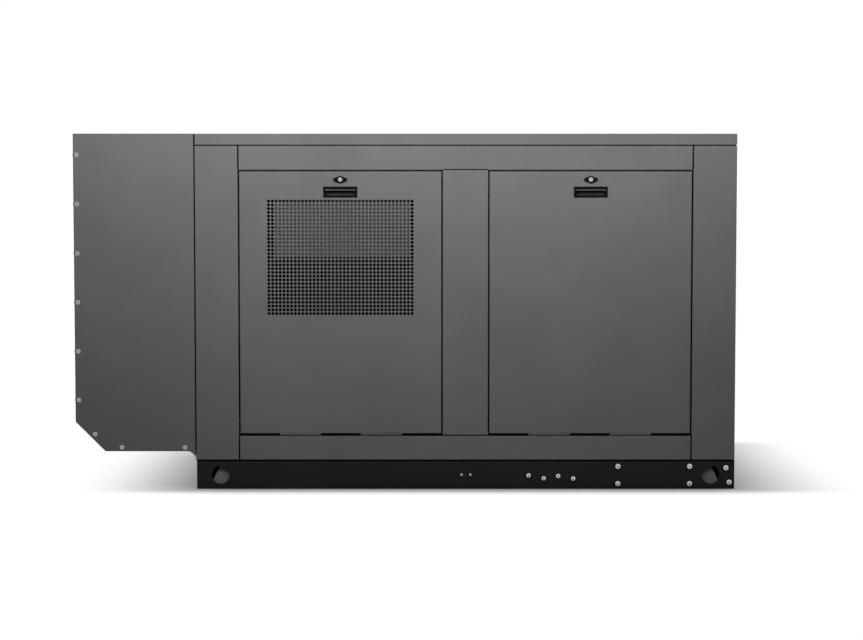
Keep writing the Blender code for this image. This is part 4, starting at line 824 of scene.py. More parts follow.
def inlet_filters():
    """Reticulated foam filter in a wire frame behind each perforated field; its near-black colour is painted
    shade, so the holes look dark.
    """
    low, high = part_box("door_front_left")
    middle = (low.x + high.x) / 2
    span_x, span_z = (about(centre, half) for centre, half in zip((middle, FIELD_MIDDLE_Z), FILTER_HALF))
    columns, rows = FILTER_GRID
    faces, rim = grid(columns, rows)
    count = (columns + 1) * (rows + 1)
    faces += [[i + count for i in face[::-1]] for face in faces] + band(rim, [i + count for i in rim])
    for label, side in SIDES.items():
        flat, bulged = [], []
        for v, z in zip(spaced(-1, 1, rows + 1), spaced(*span_z, rows + 1)):
            for u, x in zip(spaced(-1, 1, columns + 1), spaced(*span_x, columns + 1)):
                border = max(0.0, min(1 - abs(u), 1 - abs(v)))
                puff = min(1.0, border / 0.08) * (1 + 0.3 * math.sin(37 * u) * math.sin(29 * v))
                flat.append(lay(side, x, z, FILTER_DEPTH))
                bulged.append(lay(side, x, z, FILTER_DEPTH + 0.0052 + 0.0016 * puff))
        shape = Shape()
        shape.add((flat + bulged, faces), smooth=True)
        pad = make(f"inlet_filter_{label}", shape, "filter", f"{label}_left_door", angle=60)
        wires = Shape()
        corners = [lay(side, x, z, 0.029) for x, z in rectangle(span_x, span_z)]
        for a, b in zip(corners, corners[1:] + corners[:1]):
            wires.pipe([a, b], 0.0016, 10)
        for x in spaced(*span_x, 5, 1):
            wires.pipe([lay(side, x, z, 0.029) for z in span_z], 0.0012, 8)
        make(f"filter_frame_{label}", wires, "zinc", f"{label}_left_door")


def lifting_gussets():
    """Slanted gusset plate behind each lifting hole, seen through it."""
    shape = Shape()
    for side in SIDES.values():
        for x, way in ((BASE_LOW.x + 0.085, -1), (BASE_HIGH.x - 0.085, 1)):
            outline = [(x - way * 0.042, 0.0065), (x + way * 0.0395, 0.0065), (x - way * 0.0035, 0.0955),
                       (x - way * 0.042, 0.0955)]
            shape.add(prism(outline, "Y", *depths(side, 0.012, 0.016)))
    make("lifting_gussets", shape, "gusset", bevel=0.0008)


# ---- roof grille and end louvres
GRILLE_WALL = 0.005
LOUVRE_ROWS = 12
LOUVRE_FIELD = (0.055, 0.375)   # of Y, mirrored to the other side
END_SCREW_INSET = 0.0105


def discharge_grille():
    """Bar grating over the plenum: flat bearing bars with round cross rods, in an angle frame."""
    low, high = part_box("plenum_grille")
    inner_x = (low.x + GRILLE_WALL, high.x - GRILLE_WALL)
    inner_y = (low.y + GRILLE_WALL, high.y - GRILLE_WALL)
    shape = Shape()
    for x in ((low.x, inner_x[0]), (inner_x[1], high.x)):
        shape.block(x, (low.y, high.y), (low.z, high.z))
    for y in ((low.y, inner_y[0]), (inner_y[1], high.y)):
        shape.block(inner_x, y, (low.z, high.z))
    for x in spaced(low.x, high.x, 18, 1):
        shape.block(about(x, 0.0015), inner_y, (low.z + 0.0015, high.z - 0.0005))
    for y in spaced(low.y, high.y, 14, 1):
        shape.pipe([Vector((x, y, high.z - 0.003)) for x in inner_x], 0.0025, 10)
    make("discharge_grille", shape, "black", bevel=0.0006, segments=1,
         replaced="plenum_grille")


def end_louvres():
    """Inlet end panel with two columns of fixed drip-edged blades set into the sheet."""
    low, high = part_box("inlet_end_panel")
    shape = Shape()
    face, sheet, edge = high.x, (high.x - SHEET, high.x), FACE - 0.048
    near, far = LOUVRE_FIELD
    bottom, top = low.z + 0.085, high.z - 0.085
    pitch = (top - bottom) / LOUVRE_ROWS
    for y in ((-edge, -far), (-near, near), (far, edge)):
        shape.block(sheet, y, (bottom, top))
    cuts_y = [-edge, -far, -near, near, far, edge]
    for y in zip(cuts_y, cuts_y[1:]):
        for z in ((low.z, bottom), (top, high.z)):
            shape.block(sheet, y, z)
    for field in ((-far, -near), (near, far)):
        for z in (bottom + row * pitch for row in range(LOUVRE_ROWS)):
            outer = [(face - 0.0006, z + 0.002), (face - 0.0006, z + 0.012), (face - 0.03, z + pitch + 0.006),
                     (face - 0.03, z + pitch + 0.016)]
            inner = [(x - 0.0016, v + 0.001) for x, v in outer[::-1]]
            shape.add(prism(outer + inner, "Y", *field))
        for y in field:
            shape.block((face - 0.034, face - SHEET), about(y, 0.0012), (bottom - 0.004, top + 0.02))
        shape.block((face - 0.034, face - SHEET), field, (top + 0.0185, top + 0.0205))
    back = face - SHEET - CONTACT
    for y in ((low.y, -edge + 0.004), (edge - 0.004, high.y)):
        shape.block((back - SHEET, back), y, (low.z, high.z))
    make("end_louvre_panel", shape, "charcoal", bevel=0.0007, segments=1,
         replaced="inlet_end_panel")
    screws = Shape()
    for y in (low.y + END_SCREW_INSET, high.y - END_SCREW_INSET):
        for i, z in enumerate(spaced(low.z + 0.05, high.z - 0.05, 7)):
            screws.button_head((face, y, z), X, 7.5, 4.2, 0.7 * i)
    make("end_panel_screws", screws, "zinc dark_recess")


def roof_rivets():
    """Rivets over the roof bows, and screws down the plenum's outer end."""
    low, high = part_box("roof_panel")
    shape = Shape()
    for x in spaced(low.x, high.x, 4, 0.5):
        for y in spaced(-0.36, 0.36, 9):
            shape.turned((x, y, ROOF), Z, ((5.2, 0), (4.8, 0.9), (3.4, 1.5), (0, 1.8)), 0, 20)
    make("roof_rivets", shape, "charcoal")
    shape = Shape()
    for y in (-FACE + 0.016, FACE - 0.016):
        for i, down in enumerate(PLENUM_SCREWS):
            shape.button_head((LEFT, y, ROOF - down), -X, 8.2, 4.6, 1.1 * i)
    make("plenum_end_screws", shape, "zinc dark_recess")


# ---- engine bay
FAN_HEIGHT = 0.66
GUARD_RIM = 0.302
HOSE_RADIUS = 0.0215
CYLINDERS = (-0.42, -0.3, -0.18, -0.06)        # places of the intake runners and the coils
PORT_Z = 0.665                                  # the exhaust's height, from the head to the muffler
CLEANER_Z = 0.94
CRANK_Z = 0.36
MUFFLER_RADIUS = 0.1
ALTERNATOR_RADIUS = 0.2
NUT = (6, 0.07, (0, 1, 2, 3))                   # lobes that make a turned gland look six-sided


def clamp(shape, at, axis, radius):
    """Worm-drive hose clamp: band, housing and screw."""
    shape.turned(at, axis, ((-2, -6.2), (1.2, -6.2), (1.2, 6.2), (-2, 6.2)), 1, 40, rim=radius)
    place = standing(at, axis)
    shape.block((radius, radius + 0.0075), about(0, 0.008), about(0, 0.0055), 1, place)
    screw = lathe([(0.0032, 0.0), (0.0032, 0.01), (0.0026, 0.0115), (0.0, 0.0115)], 16)
    shape.add(screw, 1, True, place @ standing((radius + 0.0045, 0.008, 0.0), Y))


def radiator():
    """Two pressed tanks, a tube-and-fin core and two side channels standing on the floor pan."""
    low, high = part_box("radiator")
    core_z, tank_bottom, half = (0.31, 1.02), 0.24, high.y - 0.03
    middle, deep, tall = (low.x + high.x) / 2, (low.x, high.x), (low.z, high.z)
    shape = Shape()
    for base, top in ((core_z[1], high.z), (core_z[0], tank_bottom)):
        way = 1 if top > base else -1
        shoulder = top - way * 0.022
        outline = [(low.x + 0.004, base), (high.x - 0.004, base), (high.x - 0.004, shoulder),
                   (high.x - 0.016, top), (low.x + 0.016, top), (low.x + 0.004, shoulder)]
        shape.add(prism(outline, "Y", -half, half))
        shape.block(deep, (-half, half), (base, base + way * 0.006))
        row = spaced(0.02 - half, half - 0.02, 14)
        shape.bolts([(high.x, y, base + way * 0.014) for y in row], X, 8, 4.5, 2)
    shape.block((low.x + 0.01, high.x - 0.01), (-half, half), core_z, 1)
    for y in spaced(-half, half, 41, 0.5):
        shape.block((low.x + 0.0085, high.x - 0.0085), about(y, 0.0012), core_z)
    for way in (-1, 1):
        inner, outer = way * half, way * high.y
        y = (inner + outer) / 2
        shape.block(deep, (inner, inner + way * 0.003), tall, 3)
        for x in ((low.x, low.x + 0.003), (high.x - 0.003, high.x)):
            shape.block(x, (inner, outer), tall, 3)
        shape.block(deep, (inner, outer), (low.z, low.z + 0.004), 3)
        shape.bolts([(middle, y, low.z + 0.004)], Z, 14, 9, 2)
        shape.bolts([(high.x, y, z) for z in (0.2, 0.38, 0.6, 0.82, 1.04)], X, 10, 6, 2)
    neck = (middle, 0.285, high.z)
    shape.turned(neck, Z, ((26, -2), (22, 3), (22, 14), (26, 16)))
    shape.turned(neck, Z, ((30, 13), (31, 22), (26, 25), (14, 26), (12, 30), (0, 30)), 2, 48,
                 (8, 0.06, (0, 1)))
    drain = (high.x - 0.004, 0.3, tank_bottom + 0.022)
    shape.turned(drain, X, ((9, 0), (9, 10), (5, 12), (5, 20), (0, 20)), 2)
    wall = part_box("radiator_bulkhead")[1].x + CONTACT
    run = about(0, FACE - 0.052)
    shape.block((wall, wall + 0.002), run, (PAN_TOP + CONTACT, PAN_TOP + 0.026), 3)
    shape.block((wall + 0.002, low.x - CONTACT), run, (PAN_TOP + CONTACT, PAN_TOP + 0.0018), 3)
    make("radiator_assembly", shape, "aluminium core zinc black", bevel=0.0012,
         replaced="radiator")


def fan_guard():
    """Welded wire guard bolted round the shroud's opening."""
    shape = Shape()
    shroud = Vector((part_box("fan_shroud")[1].x, 0.0, FAN_HEIGHT))
    for i in range(6):
        shape.hoop(shroud + 0.0125 * X, X, 0.095 + 0.038 * i, 0.0018)
    for across, up in circle(1.0, 8, 0.5):
        out = Vector((0.0, across, up))
        seat = shroud + out * GUARD_RIM
        spoke = [shroud + 0.0145 * X + out * radius for radius in (0.092, 0.2, 0.287)]
        shape.pipe(smooth_path(spoke + [seat + 0.0035 * X], 5), 0.0024, 10)
        shape.bolts([seat], X, 10, 6, 1)
    make("fan_guard", shape, "black zinc")


def coolant_hoses():
    """Upper and lower hoses with their clamps, the thermostat housing and the pump inlet."""
    shape = Shape()
    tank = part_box("radiator")[1].x
    upper = [(tank + 0.016, 0.2, 1.06), (tank + 0.06, 0.2, 1.066), (-0.52, 0.165, 1.005),
             (-0.462, 0.095, 0.9), (-0.45, 0.06, 0.862)]
    lower = [(tank + 0.016, -0.25, 0.275), (tank + 0.045, -0.25, 0.272), (-0.56, -0.246, 0.3),
             (-0.5, -0.225, 0.385), (-0.47, -0.205, 0.43)]
    for knots in (upper, lower):
        path = smooth_path(knots, 8)
        shape.pipe(path, HOSE_RADIUS, 24)
        clamp(shape, path[3], path[4] - path[2], HOSE_RADIUS)
        clamp(shape, path[-4], path[-3] - path[-5], HOSE_RADIUS)
        shape.turned((tank - 0.006, *knots[0][1:]), X, ((26, 0), (26, 3), (18.5, 6), (18.5, 34)), 2)
    shape.turned((-0.448, 0.045, 0.8), Z, ((34, 0), (34, 6), (28, 10), (27, 34), (20, 48), (0, 52)), 2, 40)
    shape.turned((-0.449, 0.05, 0.838), (-0.02, 0.45, 0.8), ((20.5, 0), (18.5, 12), (18.5, 34)), 2)
    shape.bolts([(x, 0.045, 0.8035) for x in about(-0.448, 0.04)], Z, 9, 6, 1)
    shape.turned((-0.462, -0.16, 0.452), (-0.15, -0.7, -0.4), ((32, 0), (30, 12), (20.5, 22), (18.5, 48)), 2)
    make("coolant_hoses", shape, "rubber zinc aluminium")


def engine_fittings():
    """Covers' bolts, coils, filler cap, dipstick, core plugs, webs and gasket line on the engine; the gasket
    line, a real joint, is drawn in the near-black of painted shade.
    """
    shape = Shape()
    low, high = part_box("cylinder_head")
    rocker_z = high.z
    for way in (-1, 1):
        out = way * Y
        shape.bolts([(x, way * 0.1, 0.7) for x in spaced(low.x + 0.025, high.x - 0.025, 5)], Z, 13, 9)
        # gasket line: a real joint, drawn as a thin strip in the near-black of painted shade
        shape.block((low.x - 0.0006, high.x + 0.0006), (way * 0.1195, way * 0.1206),
                    (low.z - 0.0008, low.z + 0.0014), 2)
        for x in (-0.44, -0.3, -0.16, -0.02):
            shape.block(about(x, 0.006), (way * 0.164, way * 0.171), (0.3, 0.49), 1)
        for x in (-0.375, -0.235):
            shape.turned((x, way * 0.13, 0.56), out, ((21, 0), (20, 1.5), (16, 1.5), (13, 0.4), (0, 0.4)))
        for x in (-0.37, -0.09):
            shape.bolts([(x, way * 0.27, z) for z in (0.13, 0.33)], out, 16, 10)
        shape.bolts([(-0.525, way * 0.118, z) for z in (0.33, 0.41, 0.49, 0.57)], -X, 10, 6)
    for x in CYLINDERS:
        shape.block(about(x, 0.019), (-0.072, -0.036), (rocker_z + 0.0003, rocker_z + 0.024), 3)
        shape.block(about(x, 0.01), (-0.078, -0.071), (rocker_z + 0.006, rocker_z + 0.019), 3)
        shape.bolts([(x + 0.025, -0.054, rocker_z)], Z, 8, 6)
    shape.turned((-0.375, 0.042, rocker_z), Z, ((22, 0), (22, 10), (29, 12), (29, 22), (24, 26), (0, 26)),
                 4, 48, (8, 0.08, (2, 3)))
    dipstick = smooth_path([(-0.335, -0.163, 0.4), (-0.335, -0.19, 0.47), (-0.345, -0.16, 0.64),
                            (-0.352, -0.15, 0.78)], 6)
    shape.pipe(dipstick, 0.0045, 12)
    shape.hoop(dipstick[-1] + 0.016 * Z, X, 0.014, 0.003, 24, 4)
    make("engine_fittings", shape, "zinc engine dark_recess plastic yellow", bevel=0.0012)

    shape = Shape()
    shape.turned((-0.25, -0.163, 0.43), -Y,
                 ((34, 0), (34, 8), (38, 10), (40, 14), (40, 78), (36, 86), (0, 88)), 0, 48, (16, 0.03, (4,)))
    make("oil_filter", shape, "charcoal")

    shape = Shape()
    at = Vector((-0.205, -0.216, 0.424))
    solenoid = at + 0.058 * Z
    shape.turned(at, X, ((0, 0), (20, 0), (33, 6), (36, 12), (36, 150), (40, 154), (40, 172), (32, 182),
                         (28, 225), (0, 225)), 0, 40)
    shape.turned(solenoid + 0.05 * X, X, ((0, 0), (22, 2), (24, 6), (24, 96), (0, 98)), 1)
    for y in (-0.01, 0.01):
        shape.turned(solenoid + 0.048 * X + y * Y, -X, ((6, 0), (6, 5), (3, 5), (3, 16), (0, 16)), 2, 16)
    make("starter_motor", shape, "black steel copper")


def intake():
    """Intake log and runners, throttle body, injectors, and the corrugated duct from the air cleaner."""
    shape = Shape()
    shape.turned((-0.47, -0.205, 0.7), X,
                 ((0, 0), (18, 0), (28, 8), (29, 16), (29, 430), (34, 432), (34, 440), (0, 440)), 0, 40)
    for x in CYLINDERS:
        runner = smooth_path([(x, -0.205, 0.7), (x, -0.175, 0.69), (x, -0.15, 0.672), (x, -0.122, 0.66)], 5)
        shape.pipe(runner, 0.0185, 20)
        shape.block(about(x, 0.032), (-0.1285, -0.1203), (0.64, 0.68))
        shape.bolts([(end, -0.1285, 0.66) for end in about(x, 0.026)], -Y, 10, 7, 1)
        shape.turned((x, -0.16, 0.69), (0, -0.35, 0.94),
                     ((7.5, 0), (7.5, 22), (10, 24), (10, 34), (0, 35)), 2, 20)
    shape.pipe([Vector((x, -0.176, 0.73)) for x in (-0.45, -0.03)], 0.008, 20, 1)
    make("intake_manifold", shape, "aluminium zinc plastic", bevel=0.0012)

    shape = Shape()
    shape.turned((-0.03, -0.205, 0.7), X, ((33, 0), (33, 6), (27, 8), (26, 36)), 2, 40)
    path = smooth_path([(0.004, 0.0, 0.94), (0.04, -0.004, 0.938), (0.078, -0.06, 0.9),
                        (0.086, -0.15, 0.8), (0.062, -0.2, 0.722), (0.024, -0.206, 0.7),
                        (0.0, -0.205, 0.7)], 12)
    shape.pipe(path, 0.0265, 28, 0, 0.003, 3)
    clamp(shape, path[2], path[3] - path[1], 0.03)
    clamp(shape, path[-4], path[-3] - path[-5], 0.03)
    make("air_duct", shape, "rubber zinc aluminium")


def air_cleaner():
    """Bands and clips round the air cleaner, its corrugated snorkel and its foot's rings."""
    low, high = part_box("air_cleaner")
    shape = Shape()
    for x in (low.x + 0.012, high.x - 0.055, high.x - 0.012):
        shape.turned((x, 0.0, CLEANER_Z), X, ((-2, -7), (3.5, -5), (3.5, 5), (-2, 7)), 0, 48, rim=high.y)
    for angle in angles(4, 0.5):
        shape.block((high.y + 0.001, high.y + 0.0065), about(0, 0.008), (-0.018, 0.024), 1,
                    standing((high.x - 0.055, 0.0, CLEANER_Z), X, angle))
    snorkel = smooth_path([(low.x + 0.004, 0.0, CLEANER_Z), (low.x - 0.03, 0.0, CLEANER_Z),
                           (low.x - 0.072, 0.028, CLEANER_Z + 0.01),
                           (low.x - 0.095, 0.085, CLEANER_Z + 0.03)], 7)
    shape.pipe(snorkel, 0.034, 28, 0, 0.0025, 3)
    for z in (0.846, 0.858):
        shape.turned(((low.x + high.x) / 2, 0.0, z), Z, ((29.5, -4), (32.5, -3), (32.5, 3), (29.5, 4)), 1)
    make("air_cleaner_fittings", shape, "plastic_ramp zinc", bevel=0.0008)


def exhaust():
    """Port flanges, joint flanges and bellows on the exhaust, and the straps on the muffler."""
    shape = Shape()
    for x in (-0.41, -0.31, -0.21, -0.11):
        shape.block(about(x, 0.032), (0.1203, 0.1285), (0.64, 0.69))
        shape.bolts([(end, 0.1285, PORT_Z) for end in about(x, 0.026)], Y, 10, 8, 1)
    elbow = -0.428
    for y in (0.232, 0.243, 0.362, 0.373):
        shape.turned((elbow, y, PORT_Z), Y, ((24, -4), (44, -4), (45, 0), (44, 4), (24, 4)), 0, 40)
    for x in about(elbow, 0.0355):
        shape.bolts([(x, 0.247, PORT_Z), (x, 0.377, PORT_Z)], Y, 9, 7, 1)
    folds = [fold for i in range(15) for fold in ((25.5, 6 * i), (32, 6 * i + 3))]
    shape.turned((elbow, 0.26, PORT_Z), Y, folds, 0, 40)
    make("exhaust_fittings", shape, "hot_steel zinc")

    shape = Shape()
    low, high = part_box("muffler")
    axis_x = (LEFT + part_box("plenum_wrap")[1].x) / 2
    radius, crown = MUFFLER_RADIUS, PORT_Z + MUFFLER_RADIUS
    for y in (low.y + 0.004, high.y - 0.004):
        shape.turned((axis_x, y, PORT_Z), Y, ((-4, -4), (3, -3), (3, 3), (-4, 4)), 0, 56, rim=radius)
    for y in (-0.2, 0.23):
        shape.turned((axis_x, y, PORT_Z), Y, ((0, -16), (2.5, -16), (2.5, 16), (0, 16)), 1, 56, rim=radius)
        shape.block(about(axis_x, 0.01), about(y, 0.015), (crown, crown + 0.02), 1)
        shape.bolts([(axis_x - 0.01, y, crown + 0.012)], -X, 10, 7, 1)
    shape.turned((axis_x, -0.3, crown - 0.01), Z, ((46, 0), (40, 12), (30.5, 16)), 0, 40)
    make("muffler_fittings", shape, "galvanised zinc", bevel=0.0006)


def alternator():
    """Cooling ribs, joint flange, end-bell slots, bearing cap, lifting eye, terminal box and conduit; the
    slots are thin near-black strips of painted shade.
    """
    low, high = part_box("alternator_housing")
    radius = ALTERNATOR_RADIUS
    ribs = (low.x + 0.05, high.x - 0.035)
    shape = Shape()
    for angle in angles(44, 0.5):
        if math.sin(angle) > -0.62:
            shape.block((radius - 0.003, radius + 0.0065), about(0, 0.0016), (0.0, ribs[1] - ribs[0]), 0,
                        standing((ribs[0], 0.0, CRANK_Z), X, angle))
    shape.turned((low.x - 0.0065, 0.0, CRANK_Z), X, ((-2, 0), (16, 0), (17, 2), (16, 14), (-2, 16)), 0, 72,
                 rim=radius)
    for y, z in circle(radius + 0.0085, 12, 0.5):
        shape.bolts([(low.x + 0.0075, y, CRANK_Z + z)], X, 10.5, 8, 1)
    centre = Vector((high.x, 0.0, CRANK_Z))
    # end-bell slots: thin near-black strips of painted shade on the end face
    for angle in angles(16):
        shape.block((0.088, 0.162), about(0, 0.0065), (0.0, 0.0007), 2, standing(centre, X, angle))
    for y, z in circle(0.184, 8, 0.5):
        shape.bolts([centre + y * Y + z * Z], X, 13, 9, 1)
    for y, z in circle(0.05, 4, 0.25):
        shape.bolts([centre + 0.009 * X + y * Y + z * Z], X, 9, 6, 1)
    shape.turned(centre, X, ((64, 0), (62, 9), (34, 10), (30, 4), (0, 4)), 0, 48)
    eye = Vector((low.x + 0.11, 0.0, CRANK_Z + radius))
    shape.turned(eye, Z, ((20, 0), (20, 6), (10, 8), (10, 16)), 1)
    shape.hoop(eye + 0.033 * Z, Y, 0.019, 0.006, 32, 1)
    make("alternator_fittings", shape, "iron zinc dark_recess", bevel=0.0008)

    shape = Shape()
    (x0, x1), (y0, y1) = (low.x + 0.2, low.x + 0.37), (-0.085, 0.085)
    z0, z1 = eye.z - 0.004, eye.z + 0.088
    shape.block((x0, x1), (y0, y1), (z0, z1))
    shape.block((x0 - 0.003, x1 + 0.003), (y0 - 0.003, y1 + 0.003), (z1, z1 + 0.006))
    for x in (x0 + 0.012, x1 - 0.012):
        for y in (y0 + 0.012, y1 - 0.012):
            shape.button_head((x, y, z1 + 0.006), Z, 6.5, 3.8, 0.4, (1, 2))
    make("terminal_box", shape, "iron zinc dark_recess", bevel=0.002, segments=3)

    shape = Shape()
    start, end = (x1 - 0.04, y0, z0 + 0.05), (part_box("control_box")[0].x + 0.06, -0.235, 0.72)
    path = smooth_path([start, (start[0], y0 - 0.04, start[2]), (start[0] + 0.06, -0.215, start[2] + 0.004),
                        (end[0] - 0.07, end[1], start[2] + 0.01), (end[0] - 0.004, end[1], end[2] - 0.07),
                        end], 8)
    shape.pipe(path, 0.0125, 22, 0, 0.0008, 2)
    for at, axis in ((start, -Y), (end, -Z)):
        shape.turned(at, axis, ((21, 0), (21, 6), (18, 8), (18, 20), (14, 26)), 1, 36, NUT)
    make("power_conduit", shape, "galvanised plastic")


def battery():
    """Lid, vent caps, terminal clamps, tray and the bar that holds the battery down."""
    low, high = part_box("battery")
    lid = high.z - 0.016
    shape = Shape()
    shape.block((low.x - 0.002, high.x + 0.002), (low.y - 0.002, high.y + 0.002), (lid - 0.03, lid + 0.0008))
    shape.block((low.x + 0.014, high.x - 0.014), (low.y + 0.02, low.y + 0.06), (lid, lid + 0.0035))
    for x in spaced(low.x + 0.035, high.x - 0.035, 6):
        shape.turned((x, low.y + 0.04, lid + 0.003), Z, ((12.5, 0), (12.5, 4), (11, 5.5), (0, 5.5)), 0, 36,
                     (12, 0.05, (0, 1)))
    for x in spaced(low.x + 0.02, high.x - 0.02, 9):
        shape.block(about(x, 0.003), (low.y - 0.0022, low.y + 0.001), (low.z + 0.04, lid - 0.04))
    for x, paint in ((low.x + 0.035, 1), (high.x - 0.035, 0)):
        shape.turned((x, high.y - 0.035, lid + 0.0008), Z,
                     ((17, 0), (16, 3), (10.5, 3.5), (10.5, 16), (9.5, 17.2), (0, 17.5)), paint)
    make("battery_lid", shape, "plastic_ramp red", bevel=0.0015)
    shape = Shape()
    bar_y = high.y - 0.08
    shape.block((low.x - 0.022, high.x + 0.022), about(bar_y, 0.011), (lid + 0.0012, lid + 0.0042))
    for x in (low.x - 0.013, high.x + 0.013):
        shape.pipe([Vector((x, bar_y, low.z - 0.001)), Vector((x, bar_y, lid + 0.024))], 0.0038, 14)
        shape.bolts([(x, bar_y, lid + 0.0042)], Z, 12, 8)
    for x in ((low.x - 0.024, low.x - 0.002), (high.x + 0.002, high.x + 0.024)):
        shape.block(x, (low.y, high.y), (low.z, low.z + 0.003), 1)
    for y in ((low.y - 0.005, low.y - 0.002), (high.y + 0.002, high.y + 0.005)):
        shape.block((low.x - 0.024, high.x + 0.024), y, (low.z, low.z + 0.022), 1)
    make("battery_tray", shape, "zinc black", bevel=0.0006)


# ---- control panel
CONTROL_ROW = 0.8             # height of the hand controls
SELECTOR_X = 0.7
STOP_X = 0.8


def control_panel():
    """Panel face with a blank screen, keys and lamps, bezels round the hand controls, hinges and glands."""
    low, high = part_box("control_box")
    face, row = low.y, CONTROL_ROW
    shape = Shape()

    def plate(x, z, near, far, paint=1):
        shape.block(x, (face - near, face - far), z, paint)
    plate((low.x + 0.016, high.x - 0.016), (row + 0.05, high.z - 0.016), 0.0, 0.0025, 0)
    plate((low.x + 0.05, low.x + 0.19), (0.9, 1.01), 0.0025, 0.0065)
    plate((low.x + 0.062, low.x + 0.178), (0.914, 0.996), 0.0065, 0.0072, 2)
    for i in range(3):
        x = low.x + 0.225 + 0.036 * i
        for z in (0.985, 0.951):
            plate(about(x, 0.011), about(z, 0.009), 0.0025, 0.0055)
        at = (x, face - 0.0025, 0.906)
        shape.turned(at, -Y, ((6.8, 0), (6.8, 1.6), (5, 2.2)), 1, 24)
        shape.turned(at, -Y, ((5, 1.6), (4, 3.8), (0, 4.6)), 3 + i, 24)
    for x in (low.x + 0.028, high.x - 0.028):
        for z in (row + 0.062, high.z - 0.028):
            shape.button_head((x, face - 0.0025, z), -Y, 5.5, 3.4, 0.5, (6, 7))
    shape.turned((SELECTOR_X, face, row), -Y, ((31, 0), (30, 1.1), (19.5, 1.1)), 1, 48)
    for degrees in (45, 90, 135):
        shape.block((0.0235, 0.0285), about(0, 0.0007), (0.0, 0.0003), 8,
                    standing((SELECTOR_X, face - 0.0011, row), -Y, math.radians(degrees)))
    shape.turned((STOP_X, face, row), -Y, ((33, 0), (32, 1.2), (11, 1.2)), 4, 48)
    for x in ((0.882, 0.888), (0.912, 0.918)):
        plate(x, about(row, 0.038), 0.0, 0.0035)
    for z in ((row - 0.038, row - 0.031), (row + 0.031, row + 0.038)):
        plate((0.888, 0.912), z, 0.0, 0.0035)
    for z in (0.752, 0.972):
        shape.turned((low.x - 0.004, face + 0.004, z), Z, ((0, 0), (5.5, 0), (5.5, 56), (0, 56)), 6, 20)
    for x in (low.x + 0.15, low.x + 0.23, low.x + 0.3):
        shape.turned((x, face + 0.11, low.z + 0.6207), -Z,
                     ((19, 0), (19, 5), (15, 7), (15, 16), (10, 21), (0, 21)), 1, 36, NUT)
    plate((low.x - 0.0015, high.x + 0.0015), (high.z - 0.004, high.z + 0.0015), -0.2215, 0.007, 0)
    make("control_panel", shape, "box_grey plastic_ramp screen lamp yellow red zinc dark_recess mark",
         bevel=0.0009)

    shape = Shape()
    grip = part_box("selector_switch")[0].y
    shape.block(about(SELECTOR_X, 0.001), (grip - 0.0003, grip + 0.0005), (row + 0.002, row + 0.0145))
    make("selector_pointer", shape, "mark", "selector")
    shape = Shape()
    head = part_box("stop_button")[0].y
    shape.turned((STOP_X, head + 0.0004, row), -Y,
                 ((20.5, -6), (21.5, -3), (20.5, 0.8), (15, 3.5), (7, 4.8), (0, 5)), 0, 48)
    make("stop_cap", shape, "red", "stop")
    shape = Shape()
    shape.bolts([(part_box("crankshaft")[0].x, 0.0, CRANK_Z)], -X, 24, 7)
    make("crank_bolt", shape, "steel", "crank", bevel=0.0006)


# ---- stage, light and camera
FLOOR_HALF = 25.0
FLOOR_BOUNCE = 0.08
# painted shadow round the base: its reach, how far its rectangle is drawn in at the ends, its darkest mix,
# its squeeze in Y, the grey floor it mixes in, and how far it leans back
SHADOW_REACH = 0.6
SHADOW_TUCK = 0.13
SHADOW_DEPTH = 0.15
SHADOW_SQUEEZE = 3.7
SHADOW_FLOOR = 0.145
SHADOW_LEAN = 0.15
WORLD_LEVEL = 0.12
CAMERA_PLACE = (0.094, -7.76, 1.05)
CAMERA_PITCH = -3.49
LIGHTS = {"front_top": ((0.0, -1.52, 1.72), (0.0, -0.5, 1.0), 2.8, 47.5),      # place, aim, width, power
          "rear_top": ((0.0, 1.52, 1.72), (0.0, 0.5, 1.0), 2.8, 44.0),
          "left_top": ((-2.15, 0.0, 1.7), (-1.18, 0.0, 0.95), 1.5, 19.0),
          "right_top": ((2.15, 0.0, 1.7), (1.18, 0.0, 0.95), 1.5, 19.0)}
LIGHT_HEIGHT = 0.5


def floor_material():
    """Pale floor: near the machine a grey floor shows the real shadow, darkened further by a painted shadow
    that fades with distance from the base's footprint; further out it fades to the white backdrop.
    """
    t = Tree("studio_floor")
    t.nodes.remove(t.shader)
    near, hidden = (t.node("BsdfDiffuse", "BSDF", {"Color": (level, level, level, 1.0)})
                    for level in (SHADOW_FLOOR, FLOOR_BOUNCE))
    # how far a point lies outside the rectangle under the machine; the painted shadow fades over this
    # distance
    centre = ((BASE_LOW.x + RIGHT) / 2, SHADOW_LEAN, 0.0)
    half = ((RIGHT - BASE_LOW.x) / 2 - SHADOW_TUCK, FACE + SHADOW_LEAN, 0.0)
    point = t.node("NewGeometry", "Position")
    for operation, value in (("SUBTRACT", centre), ("ABSOLUTE", (0.0, 0.0, 0.0)), ("SUBTRACT", half),
                             ("MULTIPLY", (1.0, SHADOW_SQUEEZE, 1.0)), ("MAXIMUM", (0.0, 0.0, 0.0))):
        point = t.node("VectorMath", "Vector", {0: point, 1: value}, operation=operation)
    away = t.node("VectorMath", "Value", {0: point}, operation="LENGTH")
    fade = t.node("MapRange", "Result", {"Value": away, "From Max": SHADOW_REACH, "To Min": SHADOW_DEPTH},
                  interpolation_type="SMOOTHSTEP")
    shown = t.node("MixShader", "Shader", {0: fade, 1: near, 2: t.node("Emission", "Emission")})
    both = t.node("MixShader", "Shader", {0: t.seen(), 1: hidden, 2: shown})
    t.feed(t.nodes["Material Output"], {"Surface": both})
    return t.owner


